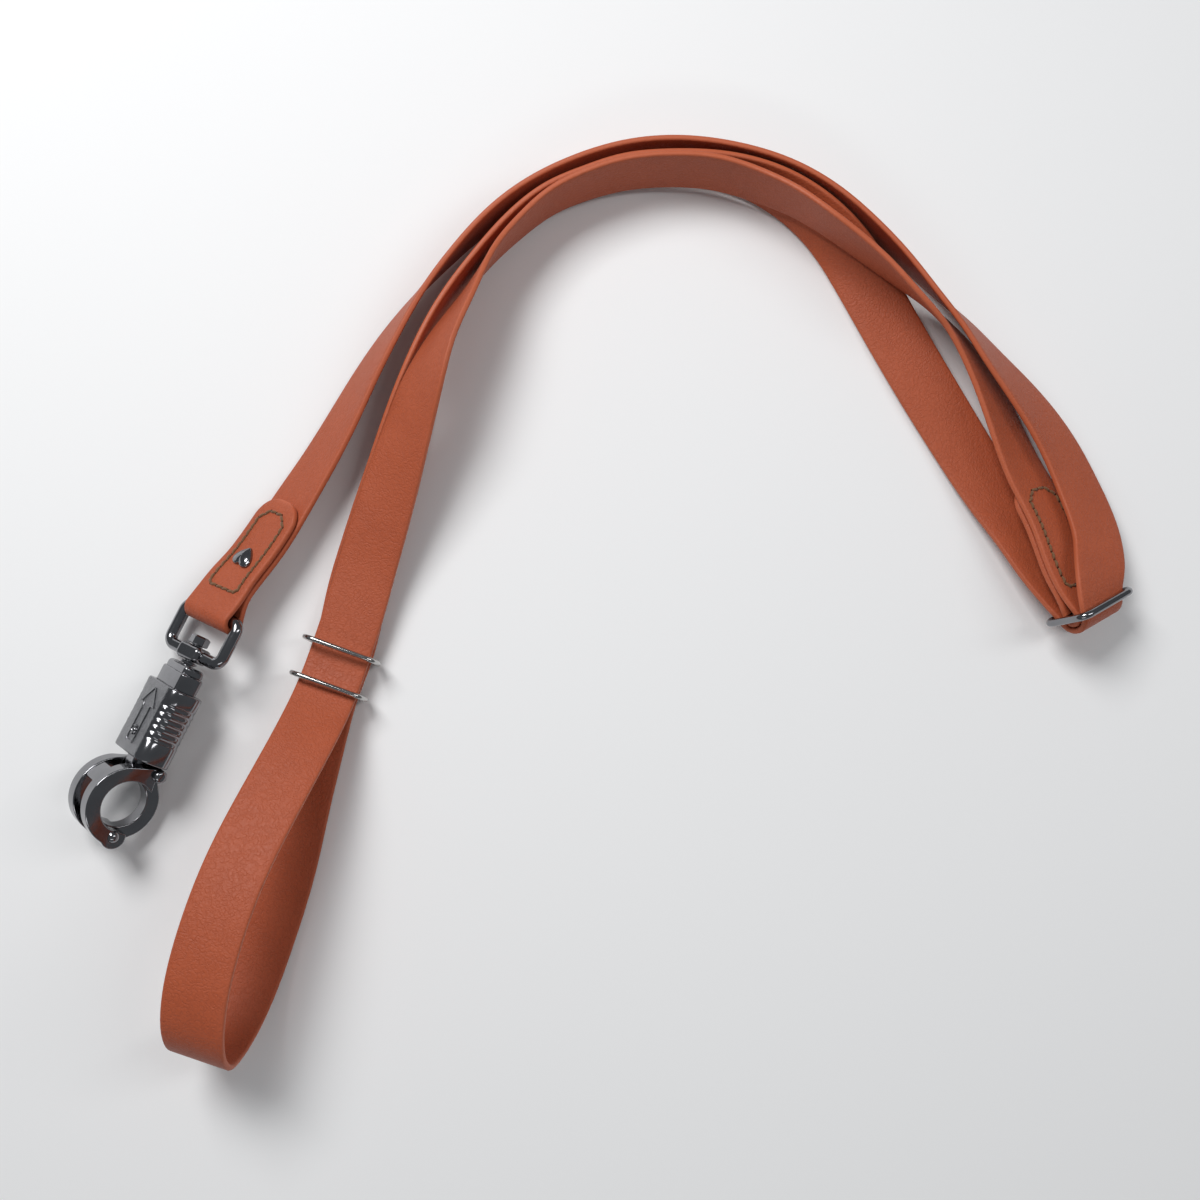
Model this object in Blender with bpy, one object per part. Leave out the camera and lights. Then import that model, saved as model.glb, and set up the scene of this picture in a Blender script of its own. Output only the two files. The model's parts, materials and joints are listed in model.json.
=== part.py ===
"""Training leash: one 20 mm leather strap, a quick-release snap, a three-bar slider and a ringed hand loop.

The leash lies on a table. +Z is up and the origin is on the table under the middle of its outline.
The strap is one ribbon. It starts as the short tab over the snap's bail, folds round the bail and runs
over the arc (the outer run) to the slider, turns back round the slider's centre bar (the middle run),
makes the hand loop, and comes back over the arc (the inner run) to be folded and stitched round the
same centre bar.
"""

import math

import bmesh
import bpy
import numpy as np
from mathutils import Matrix, Vector

MM = 0.001

# Strap
STRAP_WIDTH = 20 * MM
STRAP_THICKNESS = 2 * MM
LAYER_GAP = 0.3 * MM
STATION_PITCH = 6 * MM
FOLD_STEPS = 12
END_CORNER = 8 * MM
END_STEPS = (0, 0.5, 1.5, 3, 5, 8)

# Snap-end tab: distances from the bail bar, along the strap
TAB_LENGTH = 44 * MM
TAB_SEAM_START = 8.5 * MM
TAB_SEAM_END = 39 * MM
RIVET_PLACE = 21 * MM
TAB_CLOSES = 8 * MM

# Slider-end tab: distances from the slider's centre bar, along the strap
LEG_LENGTH = 46 * MM
LEG_SEAM_START = 8.5 * MM
LEG_SEAM_END = 43 * MM

# Seams
THREAD_DIAMETER = 0.7 * MM
SEAM_EDGE = 3.4 * MM
SEAM_CORNER = 3.6 * MM
SEAM_FOLD_CORNER = 1.2 * MM

# Heart rivet
HEART_WIDTH = 8.4 * MM
HEART_HEIGHT = 2 * MM
RIVET_POST = 2.4 * MM
RIVET_HOLE = 3 * MM
RIVET_WASHER = 7 * MM
RIVET_WASHER_HEIGHT = 0.8 * MM

# Bail: a rounded rectangle of wire
BAIL_WIRE = 4 * MM
BAIL_OPENING = 21 * MM
BAIL_DEPTH = 14.5 * MM
BAIL_CORNER = 3 * MM
BOSS_WIDTH = 10 * MM
BOSS_LENGTH = 5.2 * MM
BOSS_HEIGHT = 7 * MM

# Swivel stem
STEM_DIAMETER = 3.6 * MM
STEM_HEAD = 6.5 * MM
STEM_HEAD_HEIGHT = 3.2 * MM
STEM_COLLAR = 5.4 * MM
STEM_DEPTH = 5.7 * MM

# Snap body: places are distances along the snap from the bail's bar
BLOCK_START = 18.6 * MM
BLOCK_LENGTH = 10.7 * MM
BLOCK_WIDTH = 16.8 * MM
BLOCK_THICKNESS = 8 * MM
SHANK_DIAMETER = 6.2 * MM
EYE_PLACE = 66 * MM
EYE_RADIUS = 8 * MM
EYE_WALL = 4.2 * MM
FINGER_WIDTH = 5.5 * MM

# Release sleeve
SLEEVE_START = 26.7 * MM
SLEEVE_LENGTH = 24.3 * MM
SLEEVE_WIDTH = 23.4 * MM
SLEEVE_THICKNESS = 12 * MM
SLEEVE_CORNER = 4 * MM
SLEEVE_FLOOR = 6 * MM
SLEEVE_TRAVEL = 7.8 * MM
GRIP_GROOVES = 6
GRIP_PITCH = 2.2 * MM
GRIP_WIDTH = 1 * MM
GRIP_DEPTH = 0.6 * MM
GRIP_START = 5.5 * MM

# Cross pin, washer and spring inside the sleeve
PIN_PLACE = 17 * MM
PIN_DIAMETER = 2.6 * MM
PIN_HEAD = 3.4 * MM
PIN_HEAD_HEIGHT = 0.7 * MM
WASHER_THICKNESS = 0.8 * MM
SPRING_WIRE = 0.5 * MM
SPRING_TURNS = 5

# Jaw: two finger plates beside the body's centre finger, joined by a web
JAW_PLATE = 5 * MM
JAW_WALL = 4.7 * MM
JAW_PIVOT_DROP = 2.6 * MM
JAW_PIVOT_SIDE = 4.6 * MM
JAW_EYE = 2.2 * MM
JAW_BULB = 3.9 * MM
JAW_PIN_DIAMETER = 2.2 * MM
JAW_PIN_HEAD = 4.2 * MM
JAW_PIN_HEAD_LENGTH = 2 * MM

# Slider: a rectangle of wire with a centre bar
SLIDER_WIRE = 2.5 * MM
SLIDER_LENGTH = 27.5 * MM
SLIDER_DEPTH = 19 * MM
SLIDER_CORNER = 3 * MM
SLIDER_TILT = 9

# Keeper rings: flat ovals of thin wire round both layers of the hand loop
RING_WIRE = 1.7 * MM
RING_LENGTH = 26.8 * MM
RING_HEIGHT = 13.4 * MM
RING_CORNER = 4 * MM

CLEARANCE = 0.3 * MM

# The origin, in the millimetres that the places and the route below are written in.
MIDDLE = (-6.67, 1.06, -0.24)

# Where the hardware lies: place in millimetres, then heading and rise in degrees.
# The rise is how far the strap's marked edge (its inner edge) is lifted above the other one.
BAIL_AT = (-135, -10, 11.8)
BAIL_HEADING = 65
BAIL_RISE = 29
SNAP_RISE = 48
SLIDER_AT = (151.0, -7.3, 14.3)
SLIDER_HEADING = -63
SLIDER_RISE = 25
SLIDER_ENTRY = 12
RING_UPPER_AT = (-94.3, -21.5, 6.5)
RING_LOWER_AT = (-98.2, -33.2, 6.5)
RING_HEADING = 70

# The strap's route. Each point is x, y, z in millimetres, then the direction in which the marked
# edge lies and how steeply it rises, in degrees: 0 is flat, 90 is on edge with the marked edge up.
OUTER_RUN = (
    (-127.8, 2.2, 9.4, -27, 33), (-119.5, 14.3, 7.8, -29, 35), (-112, 27.2, 7.2, -31, 38),
    (-104.3, 40.3, 7.4, -33, 43), (-96.4, 54.7, 8.3, -33, 48), (-89.5, 68.5, 8.9, -34, 54),
    (-81.5, 83, 9.6, -35, 61), (-71.5, 98.5, 10.1, -37, 71), (-59, 114, 10.2, -41, 80),
    (-47, 126.3, 10.2, -47, 86), (-32.5, 137.2, 10.2, -57, 88), (-18.5, 144.2, 10.2, -65, 89),
    (-1, 149.7, 10.2, -77, 90), (17, 151.5, 10.2, -90, 90), (36.5, 149.3, 10.2, -102, 90),
    (54.7, 144, 10.2, -112, 88), (71, 135, 10.2, -124, 85), (84.1, 123.9, 10.2, -133, 82),
    (95.3, 112.6, 10.2, -137, 77), (106, 100.5, 10.1, -139, 69), (115.5, 90, 9.8, -140, 60),
    (124, 79, 9.4, -142, 51), (132.5, 68.3, 8.8, -144, 43), (141, 56.5, 8.2, -146, 36),
    (147.2, 45, 8.2, -148, 31), (151.6, 33, 9.4, -151, 28), (154.3, 22, 12, -152, 27),
    (154.7, 11, 15.4, -153, 26), (153.1, 1.8, 18.3, -153, 25),
)
MIDDLE_RUN = (
    (139, 6.5, 7.2, -150, 20), (131.5, 20.5, 5, -148, 12), (125.5, 30.5, 3.5, -148, 6),
    (114.5, 49.5, 2.2, -149, -2), (102, 71, 2.9, -149, -9), (89.5, 94, 3.2, -150, -12),
    (83.5, 105, 4, -148, -18), (77.5, 114.5, 5.8, -145, -31), (70, 123.5, 8, -141, -46),
    (60.5, 132, 9.2, -134, -58), (49.5, 138.8, 9.8, -125, -68), (32, 144.5, 10.1, -105, -79),
    (14, 145.7, 10.2, -90, -84), (-3, 143.9, 10.2, -76, -86), (-15, 140, 10.2, -65, -88),
    (-27.2, 134.5, 10.2, -55, -89), (-40, 124, 10.2, -46, -89), (-52, 109.4, 10.2, -38, -88),
    (-61.9, 92.8, 10.2, -31, -80), (-67.7, 78.4, 9.9, -28, -70), (-71.7, 64.6, 8.9, -25, -57),
    (-75.2, 51.4, 7.6, -22, -46), (-78.6, 38.3, 6.4, -20, -35), (-82.4, 25.4, 5, -18, -25),
    (-86.3, 12.3, 3.7, -18, -16), (-90, -1.1, 3.0, -19, -9), (-94.3, -21.5, 3.5, -20, -1),
)
HAND_LOOP = (
    (-98.4, -33.4, 3.5, -19, 0), (-103, -50.5, 1.9, -17, 0), (-107.5, -71, 1.2, -16, 0),
    (-112, -93, 1.2, -16, 0), (-117, -111, 1.4, -17, 1), (-122, -127, 3.4, -18, 2),
    (-126.5, -139.3, 8.8, -18, 3), (-129.6, -146, 18.5, -17, 5), (-130, -145.6, 28, -17, 6),
    (-129.8, -140, 36, -17, 7), (-129, -130.3, 40, -17, 7), (-125, -110, 41, -17, 8),
    (-119, -90, 37.5, -18, 8), (-111.6, -71, 30, -19, 7), (-105.2, -55, 21.2, -19, 6),
    (-101.2, -43.5, 13.4, -20, 4), (-98, -33, 7.8, -20, 3), (-94.4, -21.5, 6.6, -20, 3),
)
INNER_RUN = (
    (-90.3, -8.2, 7.3, -20, 4), (-86.6, 5, 8.8, -20, 7), (-82.8, 17.4, 11.7, -19, 11),
    (-78.9, 29.7, 15, -19, 17), (-75, 41.6, 18.5, -19, 26), (-71.3, 53, 21.4, -20, 34),
    (-67.1, 64.9, 25, -22, 43), (-62.3, 78, 25.2, -26, 56), (-55.5, 92.1, 22.6, -30, 67),
    (-46.1, 110.2, 17.2, -36, 81), (-36.6, 121.8, 14.9, -44, 87), (-26, 131.2, 14.1, -53, 91),
    (-14, 137.2, 14, -64, 94), (-3, 140.8, 14, -74, 96), (13, 142.8, 14, -87, 97),
    (29, 141.9, 14.2, -99, 97), (45.5, 136.5, 15, -111, 94), (55.7, 130.7, 17.2, -120, 90),
    (64.8, 123.6, 19.3, -127, 87), (77.8, 113.9, 18.6, -131, 84), (87.7, 105.8, 18, -134, 79),
    (98, 96.8, 16.6, -138, 70), (106.6, 90, 13, -142, 64), (113.4, 82.9, 10.7, -148, 57),
    (119.5, 73.5, 9.4, -153, 50), (124.5, 62.5, 9, -156, 44), (129, 50.5, 9, -157, 38),
    (134, 37.5, 9.8, -156, 32), (140.5, 22.5, 12, -154, 28),
)


# ---- scene, materials and small mesh tools ----

def clear_scene():
    for item in list(bpy.data.objects):
        bpy.data.objects.remove(item, do_unlink=True)


def metal(name, colour, roughness):
    return finish(name, colour, roughness, 1.0)


def finish(name, colour, roughness, metallic=0.0):
    made = bpy.data.materials.new(name)
    made.use_nodes = True
    shader = made.node_tree.nodes["Principled BSDF"]
    shader.inputs["Base Color"].default_value = (*colour, 1)
    shader.inputs["Roughness"].default_value = roughness
    shader.inputs["Metallic"].default_value = metallic
    made.diffuse_color = (*colour, 1)
    return made


def empty(name, matrix):
    marker = bpy.data.objects.new(name, None)
    marker.empty_display_size = 5 * MM
    bpy.context.scene.collection.objects.link(marker)
    marker.matrix_world = matrix
    return marker


def add(name, bm, material=None, parent=None, offset=(0, 0, 0), sharp=35):
    """An object made from bm, smooth shaded, placed at offset in its parent's frame."""
    bmesh.ops.recalc_face_normals(bm, faces=bm.faces)
    mesh = bpy.data.meshes.new(name)
    bm.to_mesh(mesh)
    bm.free()
    mesh.shade_smooth()
    mesh.set_sharp_from_angle(angle=math.radians(sharp))
    thing = bpy.data.objects.new(name, mesh)
    bpy.context.scene.collection.objects.link(thing)
    if material:
        mesh.materials.append(material)
    thing.parent = parent
    thing.location = offset
    return thing


def cut(target, tool, operation="DIFFERENCE"):
    """Cuts tool from target, or joins it on, and keeps the tool as a hidden guide."""
    tool.hide_render = True
    tool.display_type = "WIRE"
    modifier = target.modifiers.new(tool.name, "BOOLEAN")
    modifier.operation = operation
    modifier.object = tool
    modifier.solver = "EXACT"


def frame(place, heading, rise):
    """X runs along the heading, and -Y is the way the marked edge lies, lifted by rise. Z is up."""
    turn = math.radians(heading)
    lift = math.radians(rise)
    along = Vector((math.cos(turn), math.sin(turn), 0))
    right = Vector((math.sin(turn), -math.cos(turn), 0))
    edge = right * math.cos(lift) + Vector((0, 0, 1)) * math.sin(lift)
    normal = edge.cross(along)
    matrix = Matrix((along, -edge, normal)).transposed().to_4x4()
    matrix.translation = (Vector(place) - Vector(MIDDLE)) * MM
    return matrix


def bar(radius, length, axis, sides=20):
    """A cylinder centred on the origin, along X, Y or Z."""
    bm = bmesh.new()
    turn = {"X": Matrix.Rotation(math.pi / 2, 4, "Y"), "Y": Matrix.Rotation(math.pi / 2, 4, "X"),
            "Z": Matrix.Identity(4)}[axis]
    bmesh.ops.create_cone(bm, cap_ends=True, segments=sides, radius1=radius, radius2=radius,
                          depth=length, matrix=turn)
    return bm


def block(size, centre=(0, 0, 0)):
    bm = bmesh.new()
    bmesh.ops.create_cube(bm, size=1, matrix=Matrix.Translation(centre) @ Matrix.Diagonal((*size, 1)))
    return bm


def turned(profile, sides=24):
    """A solid of revolution about X from (x, radius) points; the first and last may lie on the axis."""
    bm = bmesh.new()
    rings = []
    for x, radius in profile:
        if radius < 1e-7:
            rings.append([bm.verts.new((x, 0, 0))])
            continue
        ring = []
        for i in range(sides):
            turn = 2 * math.pi * i / sides
            ring.append(bm.verts.new((x, radius * math.cos(turn), radius * math.sin(turn))))
        rings.append(ring)
    for near, far in zip(rings, rings[1:]):
        bridge(bm, near, far)
    return bm


def bridge(bm, near, far):
    """Faces between two rings of points, or between a ring and a point."""
    count = max(len(near), len(far))
    for i in range(count):
        k = (i + 1) % count
        corners = [near[i % len(near)], near[k % len(near)], far[k % len(far)], far[i % len(far)]]
        unique = list(dict.fromkeys(corners))
        if len(unique) > 2:
            bm.faces.new(unique)


def plate(outline, thickness, centre=0.0):
    """An outline of (x, z) points extruded along Y, centred at Y = centre."""
    bm = bmesh.new()
    points = [bm.verts.new((x, centre - thickness / 2, z)) for x, z in outline]
    face = bm.faces.new(points)
    moved = bmesh.ops.extrude_face_region(bm, geom=[face])["geom"]
    shift = [v for v in moved if isinstance(v, bmesh.types.BMVert)]
    bmesh.ops.translate(bm, verts=shift, vec=(0, thickness, 0))
    return bm


def arc(centre, radius, start, end, steps):
    """Points round an arc, in degrees from the first axis towards the second."""
    points = []
    for i in range(steps + 1):
        turn = math.radians(start + (end - start) * i / steps)
        points.append((centre[0] + radius * math.cos(turn), centre[1] + radius * math.sin(turn)))
    return points


def rounded_rectangle(half_length, half_depth, corner, steps=5):
    """Points round a rectangle with round corners, counter-clockwise."""
    points = []
    for quarter, (sx, sy) in enumerate(((1, 1), (-1, 1), (-1, -1), (1, -1))):
        centre = (sx * (half_length - corner), sy * (half_depth - corner))
        points += arc(centre, corner, 90 * quarter, 90 * quarter + 90, steps)
    return points


def tube(path, radius, sides=10, closed=True):
    """A round wire along a list of points, closed on itself or with flat ends."""
    points = [Vector(p) for p in path]
    count = len(points)
    bm = bmesh.new()
    rings = []
    side = None
    for i, point in enumerate(points):
        before = points[i - 1] if closed or i > 0 else points[0]
        after = points[(i + 1) % count] if closed or i < count - 1 else points[-1]
        along = (after - before).normalized()
        if side is None:
            side = along.orthogonal()
        side = (side - along * side.dot(along)).normalized()
        other = along.cross(side)
        ring = []
        for k in range(sides):
            turn = 2 * math.pi * k / sides
            ring.append(bm.verts.new(point + (side * math.cos(turn) + other * math.sin(turn)) * radius))
        rings.append(ring)
    for near, far in zip(rings, rings[1:]):
        bridge(bm, near, far)
    if closed:
        last, first = rings[-1], rings[0]
        shift = min(range(sides), key=lambda k: (last[0].co - first[k].co).length)
        bridge(bm, last, first[shift:] + first[:shift])
    else:
        bm.faces.new(rings[0])
        bm.faces.new(rings[-1])
    return bm


# ---- the strap's route ----

def spline(values, pitch):
    """A natural cubic curve through the rows of values, sampled every pitch along the first three."""
    rows = np.array(values, float)
    chord = np.linalg.norm(np.diff(rows[:, :3], axis=0), axis=1)
    knots = np.concatenate([[0], np.cumsum(chord)])
    count = len(rows)
    system = np.eye(count)
    target = np.zeros_like(rows)
    for i in range(1, count - 1):
        system[i, i - 1 : i + 2] = chord[i - 1], 2 * (chord[i - 1] + chord[i]), chord[i]
        slope = (rows[i + 1] - rows[i]) / chord[i] - (rows[i] - rows[i - 1]) / chord[i - 1]
        target[i] = 6 * slope
    bend = np.linalg.solve(system, target)
    wanted = np.linspace(0, knots[-1], max(2, round(knots[-1] / pitch) + 1))
    made = []
    for place in wanted:
        i = min(np.searchsorted(knots, place, side="right") - 1, count - 2)
        step = chord[i]
        a, b = (knots[i + 1] - place) / step, (place - knots[i]) / step
        made.append(a * rows[i] + b * rows[i + 1]
                    + ((a**3 - a) * bend[i] + (b**3 - b) * bend[i + 1]) * step**2 / 6)
    return np.array(made)


def station(point, edge):
    return np.array([*point, *edge], float)


def hand_stations(run):
    """The chosen points as stations: a place in metres and the marked edge's direction."""
    made = []
    for *place, toward, rise in run:
        turn, lift = math.radians(toward), math.radians(rise)
        edge = (math.cos(lift) * math.cos(turn), math.cos(lift) * math.sin(turn), math.sin(lift))
        made.append(station((np.array(place) - MIDDLE) * MM, edge))
    return made


def fold(matrix, radius, start, end):
    """Stations round a bar: the angle turns from the frame's +Z towards its +X."""
    centre, along, across, up = (np.array(matrix.col[i][:3]) for i in (3, 0, 1, 2))
    made = []
    for turn in np.radians(np.linspace(start, end, FOLD_STEPS + 1)):
        made.append(station(centre + radius * (math.cos(turn) * up + math.sin(turn) * along), -across))
    return made


def unit(vector):
    return vector / np.linalg.norm(vector)


class Route:
    """A line of stations with its tangents, marked edges, normals and lengths along it."""

    def __init__(self, stations):
        rows = np.array(stations)
        self.points = rows[:, :3]
        steps = np.linalg.norm(np.diff(self.points, axis=0), axis=1)
        self.lengths = np.concatenate([[0], np.cumsum(steps)])
        self.tangents = np.array([unit(t) for t in np.gradient(self.points, self.lengths, axis=0)])
        edges = rows[:, 3:] - (rows[:, 3:] * self.tangents).sum(1)[:, None] * self.tangents
        self.edges = np.array([unit(e) for e in edges])
        self.normals = np.cross(self.edges, self.tangents)

    def at(self, length, across=0.0, above=0.0):
        """The place a length along the route, across towards the marked edge, and above the strap."""
        rows = [np.interp(length, self.lengths, table[:, i])
                for table in (self.points, self.edges, self.normals) for i in range(3)]
        point, edge, normal = np.array(rows[0:3]), unit(np.array(rows[3:6])), unit(np.array(rows[6:9]))
        return point + across * edge + above * normal

    def layer(self, length, above):
        """A station of a second layer that lies above this one."""
        edge = [np.interp(length, self.lengths, self.edges[:, i]) for i in range(3)]
        return station(self.at(length, above=above), unit(np.array(edge)))


def closing_in(matrix, distance, above):
    """A station beside a bar, at a distance back along the frame's X and above its axis."""
    centre, along, across, up = (np.array(matrix.col[i][:3]) for i in (3, 0, 1, 2))
    return station(centre + distance * along + above * up, -across)


def strap_route(bail, slider):
    """The whole strap as one route, and the two lengths at which it passes the bail and the slider."""
    layer = STRAP_THICKNESS + LAYER_GAP
    half = layer / 2
    bail_fold = BAIL_WIRE / 2 + CLEARANCE + STRAP_THICKNESS / 2
    inner_fold = SLIDER_WIRE / 2 + CLEARANCE + STRAP_THICKNESS / 2
    outer_fold = inner_fold + layer

    turn_back = fold(slider, outer_fold, SLIDER_ENTRY, 180)
    outer = spline([closing_in(bail, 0, -bail_fold), closing_in(bail, TAB_CLOSES, -half),
                    *hand_stations(OUTER_RUN), turn_back[0]], STATION_PITCH)
    outer_route = Route(outer)
    tab_places = np.linspace(TAB_LENGTH, TAB_CLOSES + 5 * MM, 6)
    tab = spline([*(outer_route.layer(place, layer) for place in tab_places),
                  closing_in(bail, TAB_CLOSES, half), closing_in(bail, 0, bail_fold)], STATION_PITCH)
    tab_fold = fold(bail, bail_fold, 0, -180)

    rest = spline([turn_back[-1], *hand_stations(MIDDLE_RUN), *hand_stations(HAND_LOOP),
                   *hand_stations(INNER_RUN), closing_in(slider, -TAB_CLOSES, half),
                   closing_in(slider, 0, inner_fold)], STATION_PITCH)
    rest_route = Route(rest)
    leg_fold = fold(slider, inner_fold, 0, 180)
    leg_places = rest_route.lengths[-1] - np.linspace(TAB_CLOSES + 5 * MM, LEG_LENGTH, 6)
    leg = spline([closing_in(slider, 0, -inner_fold), closing_in(slider, -TAB_CLOSES, -half),
                  *(rest_route.layer(place, -layer) for place in leg_places)], STATION_PITCH)

    whole = [*tab, *tab_fold[1:-1], *outer[:-1], *turn_back[:-1], *rest[:-1], *leg_fold[:-1], *leg]
    route = Route(whole)
    at_bail = Route(tab).lengths[-1]
    at_slider = route.lengths[len(whole) - len(leg) - len(leg_fold) + 1]
    return route, at_bail, at_slider


# ---- soft parts ----

def strap(route, material, holes):
    bm = bmesh.new()
    half_thickness = STRAP_THICKNESS / 2
    total = route.lengths[-1]
    ends = [place * MM for place in END_STEPS]
    places = [*ends, *(x for x in route.lengths if END_CORNER < x < total - END_CORNER),
              *(total - place for place in reversed(ends))]
    rings = []
    for place in places:
        half_width = STRAP_WIDTH / 2 - end_inset(min(place, total - place))
        ring = []
        for across, above in ((1, 1), (1, -1), (-1, -1), (-1, 1)):
            ring.append(bm.verts.new(route.at(place, across * half_width, above * half_thickness)))
        rings.append(ring)
    for near, far in zip(rings, rings[1:]):
        bridge(bm, near, far)
    bm.faces.new(rings[0])
    bm.faces.new(rings[-1])
    ribbon = add("strap", bm, material)
    for hole in holes:
        cut(ribbon, hole)


def end_inset(distance):
    """How far the strap's round end corners take each edge in, at a distance from the end."""
    short = max(0, END_CORNER - distance)
    return END_CORNER - math.sqrt(END_CORNER**2 - short**2)


def seam(name, route, start, end, side, material):
    """A thread laid in a box on one face of the strap, with small corners at the fold, where it ends."""
    wide = STRAP_WIDTH / 2 - SEAM_EDGE
    above = side * (STRAP_THICKNESS / 2 + CLEARANCE + THREAD_DIAMETER / 2)
    near, far = SEAM_FOLD_CORNER, SEAM_CORNER
    outline = [(start + far, -wide), (end - near, -wide), (end, -wide + near), (end, wide - near),
               (end - near, wide), (start + far, wide), (start, wide - far), (start, -wide + far)]
    path = []
    for (l0, a0), (l1, a1) in zip(outline, outline[1:] + outline[:1]):
        steps = max(1, round(math.hypot(l1 - l0, a1 - a0) / (3 * MM)))
        for i in range(steps):
            share = i / steps
            path.append(route.at(l0 + (l1 - l0) * share, a0 + (a1 - a0) * share, above))
    add(name, tube(path, THREAD_DIAMETER / 2, sides=6), material)


def rivet(route, place, material):
    """The heart cap with its post, and the washer that the post is set in under the strap."""
    layer = STRAP_THICKNESS + LAYER_GAP
    origin = Vector(route.at(place))
    up = (Vector(route.at(place, above=-1 * MM)) - origin).normalized()
    along = (Vector(route.at(place - 1 * MM)) - Vector(route.at(place + 1 * MM))).normalized()
    across = up.cross(along)
    matrix = Matrix((along, across, up)).transposed().to_4x4()
    matrix.translation = origin
    seat = empty("rivet_place", matrix)

    top = STRAP_THICKNESS / 2 + CLEARANCE
    bottom = -STRAP_THICKNESS / 2 - layer
    outline = heart_outline(HEART_WIDTH)
    bm = bmesh.new()
    levels = []
    for height, share in ((0, 1.0), (0.45, 1.0), (0.8, 0.86), (1.0, 0.6)):
        levels.append([bm.verts.new((x * share, y * share, top + HEART_HEIGHT * height))
                       for x, y in outline])
    for near, far in zip(levels, levels[1:]):
        bridge(bm, near, far)
    bm.faces.new(levels[0])
    bm.faces.new(levels[-1])
    cap = add("heart_rivet_cap", bm, material, seat)
    reach = top + HEART_HEIGHT / 2 - bottom + CLEARANCE + RIVET_WASHER_HEIGHT
    post = add("heart_post", bar(RIVET_POST / 2, reach, "Z", 16), None, seat,
               (0, 0, top + HEART_HEIGHT / 2 - reach / 2))
    cut(cap, post, "UNION")
    washer = add("heart_rivet_back", bar(RIVET_WASHER / 2, RIVET_WASHER_HEIGHT, "Z"), material, seat,
                 (0, 0, bottom - CLEARANCE - RIVET_WASHER_HEIGHT / 2))
    cut(washer, add("washer_bore", bar(RIVET_HOLE / 2, 4 * RIVET_WASHER_HEIGHT, "Z", 16), None, washer))
    hole = add("rivet_hole", bar(RIVET_HOLE / 2, 3 * layer, "Z", 16), None, seat, (0, 0, -layer / 2))
    return hole


def heart_outline(width):
    """A heart with its point along +X, centred on the post."""
    points = []
    for i in range(32):
        turn = 2 * math.pi * i / 32
        across = 12 * math.sin(turn) ** 3 + 3.5 * math.sin(turn)
        along = 13.5 * math.cos(turn) - 3.6 * math.cos(2 * turn) - 1.5 * math.cos(3 * turn)
        points.append((-(along + 2) * width / 32, across * width / 32))
    return points


# ---- the snap, in the frame whose X runs from the bail's bar to the eye ----

def bail(place, material):
    half = (BAIL_OPENING + BAIL_WIRE) / 2
    loop = [(x + BAIL_DEPTH / 2, y, 0)
            for x, y in rounded_rectangle(BAIL_DEPTH / 2, half, BAIL_CORNER)]
    made = add("swivel_bail", tube(loop, BAIL_WIRE / 2, sides=12), material, place)
    boss = add("bail_boss", block((BOSS_LENGTH, BOSS_WIDTH, BOSS_HEIGHT)), None, place, (BAIL_DEPTH, 0, 0))
    cut(made, boss, "UNION")
    bore = bar(STEM_DIAMETER / 2 + CLEARANCE, 3 * BOSS_LENGTH, "X")
    cut(made, add("bail_bore", bore, None, place, (BAIL_DEPTH, 0, 0)))


def stem(place, material):
    boss_near = BAIL_DEPTH - BOSS_LENGTH / 2
    boss_far = BAIL_DEPTH + BOSS_LENGTH / 2
    shaft, head, collar = STEM_DIAMETER / 2, STEM_HEAD / 2, STEM_COLLAR / 2
    head_base = boss_near - CLEARANCE
    profile = [(head_base - STEM_HEAD_HEIGHT, 0), (head_base - STEM_HEAD_HEIGHT, head * 0.8),
               (head_base - STEM_HEAD_HEIGHT * 0.7, head), (head_base, head), (head_base, shaft),
               (boss_far + CLEARANCE, shaft), (boss_far + CLEARANCE, collar),
               (BLOCK_START - CLEARANCE, collar), (BLOCK_START - CLEARANCE, shaft),
               (BLOCK_START + STEM_DEPTH, shaft), (BLOCK_START + STEM_DEPTH, 0)]
    add("swivel_stem", turned(profile), material, place)


def eye_point(radius, degrees):
    """A place round the eye: 0 is its far end, 90 is the side that the fixed finger goes round."""
    turn = math.radians(degrees)
    return EYE_PLACE + radius * math.cos(turn), -radius * math.sin(turn)


def eye_arc(radius, start, end, steps):
    return [eye_point(radius, start + (end - start) * i / steps) for i in range(steps + 1)]


def jaw_pivot():
    """The jaw's hinge: a place along the snap and one towards its underside."""
    return SLEEVE_START + SLEEVE_LENGTH + JAW_PIVOT_DROP, -JAW_PIVOT_SIDE


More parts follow.
